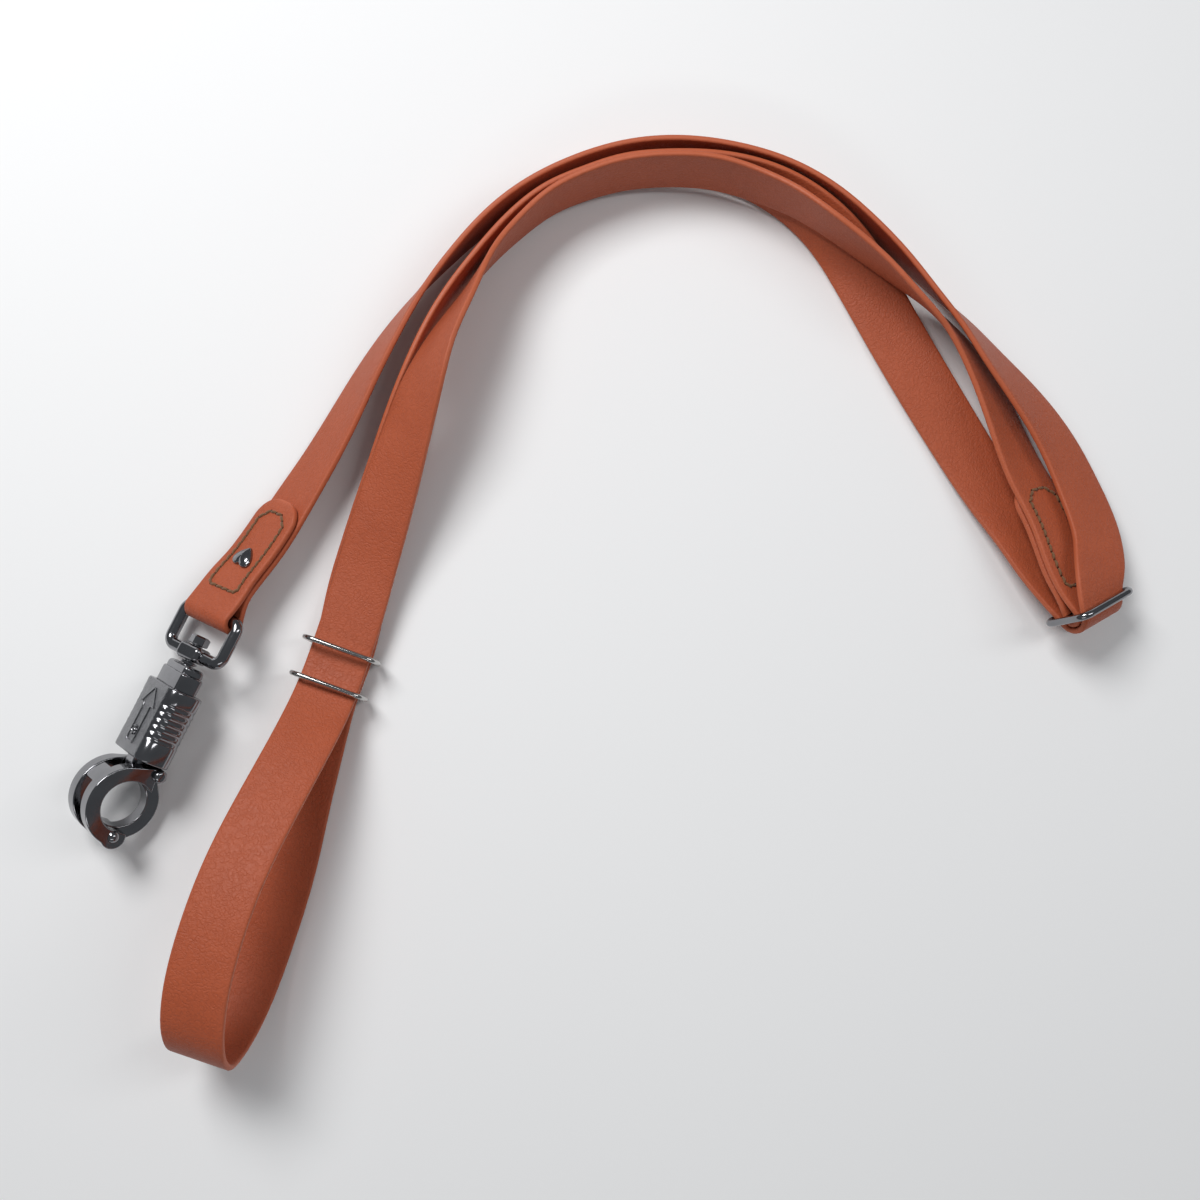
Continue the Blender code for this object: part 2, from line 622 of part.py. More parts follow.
def snap_body(place, material):
    block_middle = BLOCK_START + BLOCK_LENGTH / 2
    made = add("snap_body", block((BLOCK_LENGTH, BLOCK_WIDTH, BLOCK_THICKNESS), (block_middle, 0, 0)),
               material, place)
    round_edges(made, 1.2 * MM)
    shank_near = BLOCK_START + BLOCK_LENGTH - 2 * MM
    shank_far = SLEEVE_START + SLEEVE_LENGTH + 2 * MM
    shank = bar(SHANK_DIAMETER / 2, shank_far - shank_near, "X", 24)
    cut(made, add("shank", shank, None, place, ((shank_near + shank_far) / 2, 0, 0)), "UNION")

    top = SLEEVE_START + SLEEVE_LENGTH + CLEARANCE
    pivot_along, pivot_side = jaw_pivot()
    side = SHANK_DIAMETER / 2
    outer = EYE_RADIUS + EYE_WALL
    outline = [(top, side), *eye_arc(EYE_RADIUS, 200, -18, 22)]
    tip = eye_point(EYE_RADIUS + EYE_WALL / 2, -22)
    outline += [tip, *eye_arc(outer, -18, 118, 14)]
    outline += arc((pivot_along, pivot_side), JAW_EYE, -70, -180, 6)
    outline += [(top, pivot_side + 1 * MM)]
    finger = add("finger", plate(outline, FINGER_WIDTH), None, place)
    cut(made, finger, "UNION")

    bore = bar(STEM_DIAMETER / 2 + CLEARANCE, 2 * (STEM_DEPTH + CLEARANCE), "X")
    cut(made, add("stem_bore", bore, None, place, (BLOCK_START, 0, 0)))
    slot_near = SLEEVE_START + PIN_PLACE - SLEEVE_TRAVEL
    slot_far = SLEEVE_START + PIN_PLACE
    half = PIN_DIAMETER / 2 + CLEARANCE
    outline = arc((slot_far, 0), half, -90, 90, 8) + arc((slot_near, 0), half, 90, 270, 8)
    slot = plate(outline, 2 * SHANK_DIAMETER)
    bmesh.ops.rotate(slot, verts=slot.verts, matrix=Matrix.Rotation(math.pi / 2, 3, "X"))
    cut(made, add("pin_slot", slot, None, place))
    bore = bar(JAW_PIN_DIAMETER / 2 + CLEARANCE, 3 * FINGER_WIDTH, "Y")
    cut(made, add("pivot_bore", bore, None, place, (pivot_along, 0, pivot_side)))


def round_edges(thing, width, segments=2, angle=40):
    bevel = thing.modifiers.new("edges", "BEVEL")
    bevel.width = width
    bevel.segments = segments
    bevel.limit_method = "ANGLE"
    bevel.angle_limit = math.radians(angle)


def sleeve(place, material):
    bm = box_along(rounded_rectangle(SLEEVE_WIDTH / 2, SLEEVE_THICKNESS / 2, SLEEVE_CORNER),
                   SLEEVE_START, SLEEVE_START + SLEEVE_LENGTH)
    made = add("release_sleeve", bm, material, place)
    slide = 2 * CLEARANCE
    cavity_depth = SLEEVE_LENGTH - SLEEVE_FLOOR
    cavity = box_along(rounded_rectangle(BLOCK_WIDTH / 2 + CLEARANCE, BLOCK_THICKNESS / 2 + CLEARANCE,
                                         1 * MM, 2),
                       SLEEVE_START - slide, SLEEVE_START + cavity_depth)
    cut(made, add("sleeve_cavity", cavity, None, place))
    bore = bar(SHANK_DIAMETER / 2 + CLEARANCE, 3 * SLEEVE_FLOOR, "X", 24)
    cut(made, add("sleeve_bore", bore, None, place, (SLEEVE_START + SLEEVE_LENGTH, 0, 0)))
    cross = bar(PIN_DIAMETER / 2 + CLEARANCE, 2 * SLEEVE_THICKNESS, "Z", 16)
    cut(made, add("sleeve_cross_bore", cross, None, place, (SLEEVE_START + PIN_PLACE, 0, 0)))
    grooves = bmesh.new()
    for i in range(GRIP_GROOVES):
        along = SLEEVE_START + GRIP_START + i * GRIP_PITCH
        for side in (-1, 1):
            spot = Matrix.Translation((along, side * SLEEVE_WIDTH / 2, 0))
            size = Matrix.Diagonal((GRIP_WIDTH, 2 * GRIP_DEPTH, 2 * SLEEVE_THICKNESS, 1))
            bmesh.ops.create_cube(grooves, size=1, matrix=spot @ size)
    cut(made, add("grip_grooves", grooves, None, place))


def box_along(outline, start, end):
    """An outline of (y, z) points extruded along X."""
    bm = bmesh.new()
    near = [bm.verts.new((start, y, z)) for y, z in outline]
    far = [bm.verts.new((end, y, z)) for y, z in outline]
    bridge(bm, near, far)
    bm.faces.new(near)
    bm.faces.new(far)
    return bm


def sleeve_inside(place, pin_material, spring_material):
    """The cross pin with its two domed heads, the washer on it, and the spring above the washer."""
    pin_at = SLEEVE_START + PIN_PLACE
    half = SLEEVE_THICKNESS / 2 + CLEARANCE
    shaft, head = PIN_DIAMETER / 2, PIN_HEAD / 2
    dome = half + PIN_HEAD_HEIGHT
    profile = [(-dome, 0), (-dome + 0.15 * MM, head * 0.6), (-half, head), (-half, shaft),
               (half, shaft), (half, head), (dome - 0.15 * MM, head * 0.6), (dome, 0)]
    bm = turned(profile, 16)
    bmesh.ops.rotate(bm, verts=bm.verts, matrix=Matrix.Rotation(math.pi / 2, 3, "Y"))
    add("sleeve_pin", bm, pin_material, place, (pin_at, 0, 0))

    inner = SHANK_DIAMETER / 2 + CLEARANCE
    outer = BLOCK_THICKNESS / 2
    washer_far = pin_at - PIN_DIAMETER / 2 - CLEARANCE
    washer_near = washer_far - WASHER_THICKNESS
    bm = turned([(washer_near, inner), (washer_near, outer), (washer_far, outer), (washer_far, inner),
                 (washer_near, inner)])
    bmesh.ops.remove_doubles(bm, verts=bm.verts, dist=1e-6)
    add("spring_washer", bm, spring_material, place)

    radius = inner + SPRING_WIRE / 2 + 0.05 * MM
    start = BLOCK_START + BLOCK_LENGTH + CLEARANCE + SPRING_WIRE / 2
    end = washer_near - CLEARANCE - SPRING_WIRE / 2
    steps = 16 * SPRING_TURNS
    path = []
    for i in range(steps + 1):
        turn = 2 * math.pi * SPRING_TURNS * i / steps
        path.append((start + (end - start) * i / steps, radius * math.cos(turn), radius * math.sin(turn)))
    add("release_spring", tube(path, SPRING_WIRE / 2, sides=6, closed=False), spring_material, place)


def jaw(hinge, material):
    """Two finger plates from the hinge over the top of the eye and down its free side, and their web."""
    pivot_along, pivot_side = jaw_pivot()
    inner = EYE_RADIUS + CLEARANCE
    outer = inner + JAW_WALL
    inside = SHANK_DIAMETER / 2 + CLEARANCE
    middle = inside + JAW_PLATE / 2

    outline = arc((pivot_along, pivot_side), JAW_EYE, 150, 360, 9)
    outline += [eye_point(inner, 142), *eye_arc(inner, 150, 352, 24)]
    bulb = eye_point(outer - JAW_BULB * 0.75, 2)
    outline += arc(bulb, JAW_BULB, -120, 45, 8)
    outline += eye_arc(outer, -16, -155, 14)
    back = (-pivot_along, 0, -pivot_side)
    made = add("release_jaw", plate(outline, JAW_PLATE, middle), material, hinge, back)
    cut(made, add("second_finger", plate(outline, JAW_PLATE, -middle), None, hinge, back), "UNION")
    web = eye_arc(inner + 0.4 * MM, -138, -106, 5) + eye_arc(outer - 0.4 * MM, -106, -138, 5)
    cut(made, add("jaw_web", plate(web, 2 * middle), None, hinge, back), "UNION")
    cut(made, add("jaw_bore", bar(JAW_PIN_DIAMETER / 2 + CLEARANCE, 4 * middle, "Y"), None, hinge))


def jaw_pin(place, material):
    pivot_along, pivot_side = jaw_pivot()
    shaft, head = JAW_PIN_DIAMETER / 2, JAW_PIN_HEAD / 2
    near = SHANK_DIAMETER / 2 + JAW_PLATE + 2 * CLEARANCE
    far = near + JAW_PIN_HEAD_LENGTH
    profile = [(-far, 0), (-far, head * 0.7), (-far + 0.8 * MM, head), (-near, head), (-near, shaft),
               (near, shaft), (near, head), (far - 0.8 * MM, head), (far, head * 0.7), (far, 0)]
    bm = turned(profile, 20)
    bmesh.ops.rotate(bm, verts=bm.verts, matrix=Matrix.Rotation(math.pi / 2, 3, "Z"))
    add("jaw_pin", bm, material, place, (pivot_along, 0, pivot_side))


# ---- slider and rings ----

def slide_buckle(place, material):
    """The slider stands across the strap, tipped about its centre bar."""
    half_length = (SLIDER_LENGTH - SLIDER_WIRE) / 2
    half_depth = (SLIDER_DEPTH - SLIDER_WIRE) / 2
    tip = math.radians(SLIDER_TILT)
    loop = [(y * math.sin(tip), x, y * math.cos(tip))
            for x, y in rounded_rectangle(half_length, half_depth, SLIDER_CORNER)]
    made = add("slider", tube(loop, SLIDER_WIRE / 2, sides=12), material, place)
    centre = bar(SLIDER_WIRE / 2, 2 * half_length, "Y", 12)
    cut(made, add("centre_bar", centre, None, place), "UNION")


def keeper_ring(name, spot, material):
    half_length = (RING_LENGTH - RING_WIRE) / 2
    half_height = (RING_HEIGHT - RING_WIRE) / 2
    place = empty(name + "_place", frame(spot, RING_HEADING, 0))
    loop = [(0, x, y) for x, y in rounded_rectangle(half_length, half_height, RING_CORNER, 6)]
    add(name, tube(loop, RING_WIRE / 2, sides=10), material, place)


def main():
    clear_scene()
    leather = finish("cognac_leather", (0.42, 0.105, 0.045), 0.5)
    thread = finish("olive_thread", (0.16, 0.10, 0.03), 0.8)
    chrome = metal("dark_chrome", (0.35, 0.36, 0.38), 0.14)
    wire = metal("bright_chrome", (0.62, 0.63, 0.65), 0.12)
    steel = metal("spring_steel", (0.45, 0.45, 0.46), 0.3)

    bail_frame = frame(BAIL_AT, BAIL_HEADING, BAIL_RISE)
    slider_frame = frame(SLIDER_AT, SLIDER_HEADING, SLIDER_RISE)
    about_face = Matrix.Rotation(math.pi, 4, "Z")
    bail_place = empty("bail_place", bail_frame @ about_face)
    snap_frame = frame(BAIL_AT, BAIL_HEADING, SNAP_RISE) @ about_face
    snap_place = empty("snap_place", snap_frame)
    pivot_along, pivot_side = jaw_pivot()
    jaw_place = empty("jaw_place", snap_frame @ Matrix.Translation((pivot_along, 0, pivot_side)))
    slider_place = empty("slider_place", slider_frame)

    route, at_bail, at_slider = strap_route(bail_frame, slider_frame)
    hole = rivet(route, at_bail - RIVET_PLACE, chrome)
    strap(route, leather, [hole])
    seam("snap_end_thread", route, at_bail - TAB_SEAM_END, at_bail - TAB_SEAM_START, -1, thread)
    seam("slider_end_thread", route, at_slider - LEG_SEAM_END, at_slider - LEG_SEAM_START, 1, thread)

    bail(bail_place, chrome)
    stem(snap_place, chrome)
    snap_body(snap_place, chrome)
    sleeve(snap_place, chrome)
    sleeve_inside(snap_place, chrome, steel)
    jaw(jaw_place, chrome)
    jaw_pin(snap_place, chrome)
    slide_buckle(slider_place, chrome)
    keeper_ring("keeper_ring_upper", RING_UPPER_AT, wire)
    keeper_ring("keeper_ring_lower", RING_LOWER_AT, wire)


main()
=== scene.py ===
"""Training leash: a cognac leather strap with a black-nickel quick-release snap, a three-bar slider and
a hand loop held by two keeper rings.

The strap is one ribbon swept along the same route as the CAD strap. The snap is built in its own frame,
whose X runs from the bail's bar to the eye and whose Y is the hinge line of the jaw.
"""

import json
import math

import bmesh
import bpy
import numpy as np
from mathutils import Matrix, Vector


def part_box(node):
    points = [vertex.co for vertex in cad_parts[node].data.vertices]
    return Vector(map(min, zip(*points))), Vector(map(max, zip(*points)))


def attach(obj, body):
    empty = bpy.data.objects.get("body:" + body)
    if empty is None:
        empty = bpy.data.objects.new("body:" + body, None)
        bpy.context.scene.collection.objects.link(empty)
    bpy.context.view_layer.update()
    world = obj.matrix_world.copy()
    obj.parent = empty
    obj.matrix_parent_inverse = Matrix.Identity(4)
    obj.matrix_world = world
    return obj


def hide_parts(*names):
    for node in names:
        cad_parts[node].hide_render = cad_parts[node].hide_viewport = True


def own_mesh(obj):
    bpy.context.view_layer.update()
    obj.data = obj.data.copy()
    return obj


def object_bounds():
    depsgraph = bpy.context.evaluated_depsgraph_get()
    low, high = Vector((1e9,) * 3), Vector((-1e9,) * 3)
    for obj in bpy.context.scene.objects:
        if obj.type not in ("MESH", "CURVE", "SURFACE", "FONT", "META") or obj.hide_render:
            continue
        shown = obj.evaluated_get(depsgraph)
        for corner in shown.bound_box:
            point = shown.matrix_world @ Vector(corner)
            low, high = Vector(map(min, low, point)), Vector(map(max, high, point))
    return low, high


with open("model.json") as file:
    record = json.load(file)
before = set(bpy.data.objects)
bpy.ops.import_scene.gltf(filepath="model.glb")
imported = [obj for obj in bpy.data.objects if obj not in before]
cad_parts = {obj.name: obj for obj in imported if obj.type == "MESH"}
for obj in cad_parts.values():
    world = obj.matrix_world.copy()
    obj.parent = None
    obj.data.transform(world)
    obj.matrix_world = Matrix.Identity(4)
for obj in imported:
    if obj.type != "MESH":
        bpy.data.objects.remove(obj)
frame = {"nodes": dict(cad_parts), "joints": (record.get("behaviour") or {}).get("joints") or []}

MM = 0.001
CAD_BOX = [[float(value) for value in corner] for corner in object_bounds()]

# Strap
STRAP_WIDTH = 20 * MM
STRAP_THICKNESS = 2 * MM
LAYER_GAP = 0.3 * MM
STATION_PITCH = 2.5 * MM
EDGE_ROUND = 0.75 * MM
FOLD_STEPS = 20
END_CORNER = 8 * MM
END_STEPS = (0, 0.12, 0.4, 0.9, 1.6, 2.6, 4, 6, 8)
END_THINS = 1.6 * MM
END_PAINT = 1.2 * MM
TAB_LENGTH = 44 * MM
TAB_CLOSES = 8 * MM
TAB_LAYER_START = TAB_CLOSES + 5 * MM
TAB_LAYER_POINTS = 6
LEG_LENGTH = 46 * MM

# Seams: from the folded end, along the strap
TAB_SEAM = (8.5 * MM, 39 * MM)
LEG_SEAM = (8.5 * MM, 43 * MM)
SEAM_EDGE = 3.4 * MM
SEAM_CORNER = 3.6 * MM
SEAM_FOLD_CORNER = 1.2 * MM
STITCH_PITCH = 2.6 * MM
STITCH_LENGTH = 2.0 * MM
THREAD_RADIUS = 0.45 * MM
STITCH_SLANT = 0.18 * MM
HOLE_RADIUS = 0.55 * MM
HOLE_PROUD = 0.03 * MM
HOLE_DEPTH = 0.3 * MM

# Heart rivet
RIVET_PLACE = 21 * MM
HEART_WIDTH = 8.4 * MM
HEART_HEIGHT = 2 * MM
RIVET_POST = 2.4 * MM
# Its face from the leather up: shares of the height and of the outline's size.
HEART_LEVELS = ((-0.1, 0.98), (0.15, 1.03), (0.45, 1.0), (0.62, 0.93),
                (0.60, 0.84), (0.72, 0.74), (0.92, 0.5), (1.0, 0.22))

# Snap: places are distances from the bail's bar
BAIL_WIRE = 4 * MM
BAIL_OPENING = 21 * MM
BAIL_DEPTH = 14.5 * MM
BAIL_CORNER = 3 * MM
BOSS_SIZE = (5.2 * MM, 10 * MM, 7 * MM)
STEM_DIAMETER = 3.6 * MM
STEM_HEAD = 6.5 * MM
STEM_HEAD_HEIGHT = 3.2 * MM
STEM_COLLAR = 5.4 * MM
BLOCK_START = 18.6 * MM
BLOCK_LENGTH = 10.7 * MM
BLOCK_WIDTH = 16.8 * MM
BLOCK_THICKNESS = 8 * MM
BLOCK_NECK = 2.6 * MM
BLOCK_CORNER = 1.4 * MM
SHANK_DIAMETER = 6.2 * MM
EYE_PLACE = 66 * MM
EYE_RADIUS = 8 * MM
EYE_WALL = 4.2 * MM
FINGER_WIDTH = 5.5 * MM
SLEEVE_START = 26.7 * MM
SLEEVE_LENGTH = 24.3 * MM
SLEEVE_WIDTH = 23.4 * MM
SLEEVE_THICKNESS = 12 * MM
SLEEVE_CORNER = 4 * MM
SLEEVE_FLOOR = 6 * MM
SLEEVE_ROUND = 0.6 * MM
GRIP_GROOVES = 6
GRIP_PITCH = 2.2 * MM
GRIP_DEPTH = 0.6 * MM
GRIP_START = 5.5 * MM
ARROW_LINE = 0.3 * MM
PIN_PLACE = 17 * MM
PIN_DIAMETER = 2.6 * MM
PIN_HEAD = 3.4 * MM
PIN_RISE = 0.9 * MM
# The ringed head from its rim to its middle: shares of its rise and of its radius.
PIN_FACE = ((0.5, 0.98), (0.8, 0.86), (0.55, 0.66), (0.3, 0.55), (0.55, 0.42), (0.85, 0.2), (0.95, 0))
SPRING_WIRE = 0.5 * MM
SPRING_TURNS = 5
SPRING_PLAY = 0.05 * MM
WASHER_THICKNESS = 0.8 * MM
JAW_PLATE = 5 * MM
JAW_WALL = 4.7 * MM
JAW_PIVOT_DROP = 2.6 * MM
JAW_PIVOT_SIDE = 4.6 * MM
JAW_EYE = 2.2 * MM
JAW_BULB = 3.9 * MM
JAW_BALL = 2.1 * MM
JAW_PIN_DIAMETER = 2.2 * MM
JAW_PIN_HEAD = 4.2 * MM
JAW_PIN_HEAD_LENGTH = 2 * MM

# Slider and keeper rings
SLIDER_WIRE = 2.5 * MM
SLIDER_LENGTH = 27.5 * MM
SLIDER_DEPTH = 19 * MM
SLIDER_CORNER = 3 * MM
SLIDER_TILT = 9
SLIDER_ENTRY = 12
RING_WIRE = 1.7 * MM
RING_LENGTH = 26.8 * MM
RING_HEIGHT = 13.4 * MM
RING_CORNER = 4 * MM

CLEARANCE = 0.3 * MM
MIDDLE = (-6.67, 1.06, -0.24)

# The strap's route. Each point is x, y, z in millimetres, then the direction in which the marked
# edge lies and how steeply it rises, in degrees: 0 is flat, 90 is on edge with the marked edge up.
OUTER_RUN = (
    (-127.8, 2.2, 9.4, -27, 33), (-119.5, 14.3, 7.8, -29, 35), (-112, 27.2, 7.2, -31, 38),
    (-104.3, 40.3, 7.4, -33, 43), (-96.4, 54.7, 8.3, -33, 48), (-89.5, 68.5, 8.9, -34, 54),
    (-81.5, 83, 9.6, -35, 61), (-71.5, 98.5, 10.1, -37, 71), (-59, 114, 10.2, -41, 80),
    (-47, 126.3, 10.2, -47, 86), (-32.5, 137.2, 10.2, -57, 88), (-18.5, 144.2, 10.2, -65, 89),
    (-1, 149.7, 10.2, -77, 90), (17, 151.5, 10.2, -90, 90), (36.5, 149.3, 10.2, -102, 90),
    (54.7, 144, 10.2, -112, 88), (71, 135, 10.2, -124, 85), (84.1, 123.9, 10.2, -133, 82),
    (95.3, 112.6, 10.2, -137, 77), (106, 100.5, 10.1, -139, 69), (115.5, 90, 9.8, -140, 60),
    (124, 79, 9.4, -142, 51), (132.5, 68.3, 8.8, -144, 43), (141, 56.5, 8.2, -146, 36),
    (147.2, 45, 8.2, -148, 31), (151.6, 33, 9.4, -151, 28), (154.3, 22, 12, -152, 27),
    (154.7, 11, 15.4, -153, 26), (153.1, 1.8, 18.3, -153, 25),
)
MIDDLE_RUN = (
    (139, 6.5, 7.2, -150, 20), (131.5, 20.5, 5, -148, 12), (125.5, 30.5, 3.5, -148, 6),
    (114.5, 49.5, 2.2, -149, -2), (102, 71, 2.9, -149, -9), (89.5, 94, 3.2, -150, -12),
    (83.5, 105, 4, -148, -18), (77.5, 114.5, 5.8, -145, -31), (70, 123.5, 8, -141, -46),
    (60.5, 132, 9.2, -134, -58), (49.5, 138.8, 9.8, -125, -68), (32, 144.5, 10.1, -105, -79),
    (14, 145.7, 10.2, -90, -84), (-3, 143.9, 10.2, -76, -86), (-15, 140, 10.2, -65, -88),
    (-27.2, 134.5, 10.2, -55, -89), (-40, 124, 10.2, -46, -89), (-52, 109.4, 10.2, -38, -88),
    (-61.9, 92.8, 10.2, -31, -80), (-67.7, 78.4, 9.9, -28, -70), (-71.7, 64.6, 8.9, -25, -57),
    (-75.2, 51.4, 7.6, -22, -46), (-78.6, 38.3, 6.4, -20, -35), (-82.4, 25.4, 5, -18, -25),
    (-86.3, 12.3, 3.7, -18, -16), (-90, -1.1, 3.0, -19, -9), (-94.3, -21.5, 3.5, -20, -1),
)
HAND_LOOP = (
    (-98.4, -33.4, 3.5, -19, 0), (-103, -50.5, 1.9, -17, 0), (-107.5, -71, 1.2, -16, 0),
    (-112, -93, 1.2, -16, 0), (-117, -111, 1.4, -17, 1), (-122, -127, 3.4, -18, 2),
    (-126.5, -139.3, 8.8, -18, 3), (-129.6, -146, 18.5, -17, 5), (-130, -145.6, 28, -17, 6),
    (-129.8, -140, 36, -17, 7), (-129, -130.3, 40, -17, 7), (-125, -110, 41, -17, 8),
    (-119, -90, 37.5, -18, 8), (-111.6, -71, 30, -19, 7), (-105.2, -55, 21.2, -19, 6),
    (-101.2, -43.5, 13.4, -20, 4), (-98, -33, 7.8, -20, 3), (-94.4, -21.5, 6.6, -20, 3),
)
INNER_RUN = (
    (-90.3, -8.2, 7.3, -20, 4), (-86.6, 5, 8.8, -20, 7), (-82.8, 17.4, 11.7, -19, 11),
    (-78.9, 29.7, 15, -19, 17), (-75, 41.6, 18.5, -19, 26), (-71.3, 53, 21.4, -20, 34),
    (-67.1, 64.9, 25, -22, 43), (-62.3, 78, 25.2, -26, 56), (-55.5, 92.1, 22.6, -30, 67),
    (-46.1, 110.2, 17.2, -36, 81), (-36.6, 121.8, 14.9, -44, 87), (-26, 131.2, 14.1, -53, 91),
    (-14, 137.2, 14, -64, 94), (-3, 140.8, 14, -74, 96), (13, 142.8, 14, -87, 97),
    (29, 141.9, 14.2, -99, 97), (45.5, 136.5, 15, -111, 94), (55.7, 130.7, 17.2, -120, 90),
    (64.8, 123.6, 19.3, -127, 87), (77.8, 113.9, 18.6, -131, 84), (87.7, 105.8, 18, -134, 79),
    (98, 96.8, 16.6, -138, 70), (106.6, 90, 13, -142, 64), (113.4, 82.9, 10.7, -148, 57),
    (119.5, 73.5, 9.4, -153, 50), (124.5, 62.5, 9, -156, 44), (129, 50.5, 9, -157, 38),
    (134, 37.5, 9.8, -156, 32), (140.5, 22.5, 12, -154, 28),
)


# ---- materials ----

class Nodes:
    """A material's node tree with short calls to add and join nodes."""

    def __init__(self, name):
        self.material = bpy.data.materials.new(name)
        self.material.use_nodes = True
        self.tree = self.material.node_tree
        self.shader = self.tree.nodes["Principled BSDF"]
        self.place = self.add("ShaderNodeTexCoord").outputs["Object"]

    def add(self, kind, **values):
        node = self.tree.nodes.new(kind)
        for key, value in values.items():
            setattr(node, key, value)
        return node

    def join(self, source, target):
        self.tree.links.new(source, target)

    def noise(self, scale, detail=3.0, roughness=0.5):
        node = self.add("ShaderNodeTexNoise")
        node.inputs["Scale"].default_value = scale
        node.inputs["Detail"].default_value = detail
        node.inputs["Roughness"].default_value = roughness
        self.join(self.place, node.inputs["Vector"])
        return node.outputs["Fac"]

    def cell_edges(self, scale, source):
        node = self.add("ShaderNodeTexVoronoi", feature="DISTANCE_TO_EDGE")
        node.inputs["Scale"].default_value = scale
        self.join(source, node.inputs["Vector"])
        return node.outputs["Distance"]

    def ramp(self, source, stops):
        node = self.add("ShaderNodeValToRGB")
        while len(node.color_ramp.elements) < len(stops):
            node.color_ramp.elements.new(0.5)
        for element, (place, colour) in zip(node.color_ramp.elements, stops):
            element.position = place
            element.color = (*colour, 1)
        self.join(source, node.inputs["Fac"])
        return node.outputs["Color"]

    def span(self, source, low, high, start=0.0, end=1.0):
        node = self.add("ShaderNodeMapRange")
        for key, value in (("From Min", start), ("From Max", end), ("To Min", low), ("To Max", high)):
            node.inputs[key].default_value = value
        self.join(source, node.inputs["Value"])
        return node.outputs["Result"]

    def sums(self, first, second, operation="ADD"):
        node = self.add("ShaderNodeMath", operation=operation)
        self.join(first, node.inputs[0])
        if isinstance(second, float):
            node.inputs[1].default_value = second
        else:
            self.join(second, node.inputs[1])
        return node.outputs["Value"]

    def mix(self, share, first, second):
        node = self.add("ShaderNodeMix", data_type="RGBA")
        for value, name in ((share, 0), (first, 6), (second, 7)):
            if isinstance(value, float):
                node.inputs[name].default_value = value
            elif isinstance(value, tuple):
                node.inputs[name].default_value = (*value, 1)
            else:
                self.join(value, node.inputs[name])
        return node.outputs[2]

    def mask(self, name):
        return self.add("ShaderNodeAttribute", attribute_name=name).outputs["Fac"]

    def bump(self, height, distance, strength=1.0):
        node = self.add("ShaderNodeBump")
        node.inputs["Strength"].default_value = strength
        node.inputs["Distance"].default_value = distance
        self.join(height, node.inputs["Height"])
        self.join(node.outputs["Normal"], self.shader.inputs["Normal"])

    def colour(self, source):
        self.join(source, self.shader.inputs["Base Color"])

    def roughness(self, source):
        self.join(source, self.shader.inputs["Roughness"])

    def set(self, **values):
        for key, value in values.items():
            self.shader.inputs[key.replace("_", " ")].default_value = value


def leather():
    """Smooth grained strap leather: fine creased grain, mottled colour and brighter painted edges."""
    made = Nodes("cognac_leather")
    warp = made.add("ShaderNodeVectorMath", operation="MULTIPLY_ADD")
    swirl = made.add("ShaderNodeTexNoise")
    swirl.inputs["Scale"].default_value = 420
    made.join(made.place, swirl.inputs["Vector"])
    made.join(swirl.outputs["Color"], warp.inputs[0])
    warp.inputs[1].default_value = (0.0011, 0.0011, 0.0011)
    made.join(made.place, warp.inputs[2])
    creases = made.cell_edges(900, warp.outputs["Vector"])
    folds = made.sums(made.sums(made.noise(560, 2.0), -0.5), 0.0, "ABSOLUTE")
    grain = made.sums(made.span(creases, 0.0, 0.45, 0.0, 0.30), made.span(folds, 0.0, 0.55, 0.0, 0.07))
    pores = made.noise(2600, 2.0)
    soft = made.noise(95, 4.0, 0.6)
    edge = made.mask("edge")
    face = made.ramp(soft, ((0.3, (0.385, 0.078, 0.028)), (0.5, (0.405, 0.083, 0.030)),
                            (0.72, (0.425, 0.090, 0.034))))
    creased = made.mix(made.span(grain, 0.30, 0.0), face, (0.26, 0.050, 0.020))
    painted = made.mix(made.noise(600), (0.50, 0.118, 0.048), (0.43, 0.095, 0.037))
    made.colour(made.mix(edge, creased, painted))
    worn = made.sums(made.span(soft, 0.44, 0.60), made.span(grain, 0.08, 0.0))
    smooth_edge = made.sums(edge, -0.08, "MULTIPLY")
    made.roughness(made.sums(worn, smooth_edge))
    height = made.sums(made.sums(grain, 0.8, "MULTIPLY"), made.sums(pores, 0.35, "MULTIPLY"))
    fade = made.span(edge, 1.0, 0.25)
    made.bump(made.sums(height, fade, "MULTIPLY"), 0.00016, 0.9)
    made.set(Specular_IOR_Level=0.34, Sheen_Weight=0.03, Sheen_Roughness=0.5)
    return made.material


def thread():
    """Twisted olive-brown thread."""
    made = Nodes("olive_thread")
    strands = made.noise(2200, 3.0)
    made.colour(made.mix(strands, (0.055, 0.020, 0.007), (0.27, 0.125, 0.042)))
    made.bump(strands, 0.00012, 0.8)
    made.set(Roughness=0.75, Sheen_Weight=0.25)
    return made.material


def hole_shade():
    """Dark brown painted shade, standing in for the shade inside a punched hole."""
    made = Nodes("hole_painted_shade")
    # painted shade: this dark brown stands in for the shade inside a stitch hole
    made.colour(made.mix(made.noise(1500), (0.045, 0.012, 0.006), (0.09, 0.025, 0.012)))
    made.set(Roughness=0.85, Specular_IOR_Level=0.1)
    return made.material


def plated(name, dark, light, rough, cast=0.0):
    """Polished plating: faint colour and gloss variation, and cast texture where marked."""
    made = Nodes(name)
    cloud = made.noise(160, 3.0)
    made.colour(made.mix(cloud, dark, light))
    made.roughness(made.span(made.noise(700, 4.0, 0.65), rough * 0.7, rough * 1.6))
    waves = made.sums(made.noise(260, 1.0), 0.5, "MULTIPLY")
    if cast:
        lumps = made.sums(made.noise(1300, 4.0, 0.6), made.mask("cast"), "MULTIPLY")
        waves = made.sums(waves, made.sums(lumps, cast, "MULTIPLY"))
    made.bump(waves, 0.00016, 0.5)
    made.set(Metallic=1.0)
    return made.material


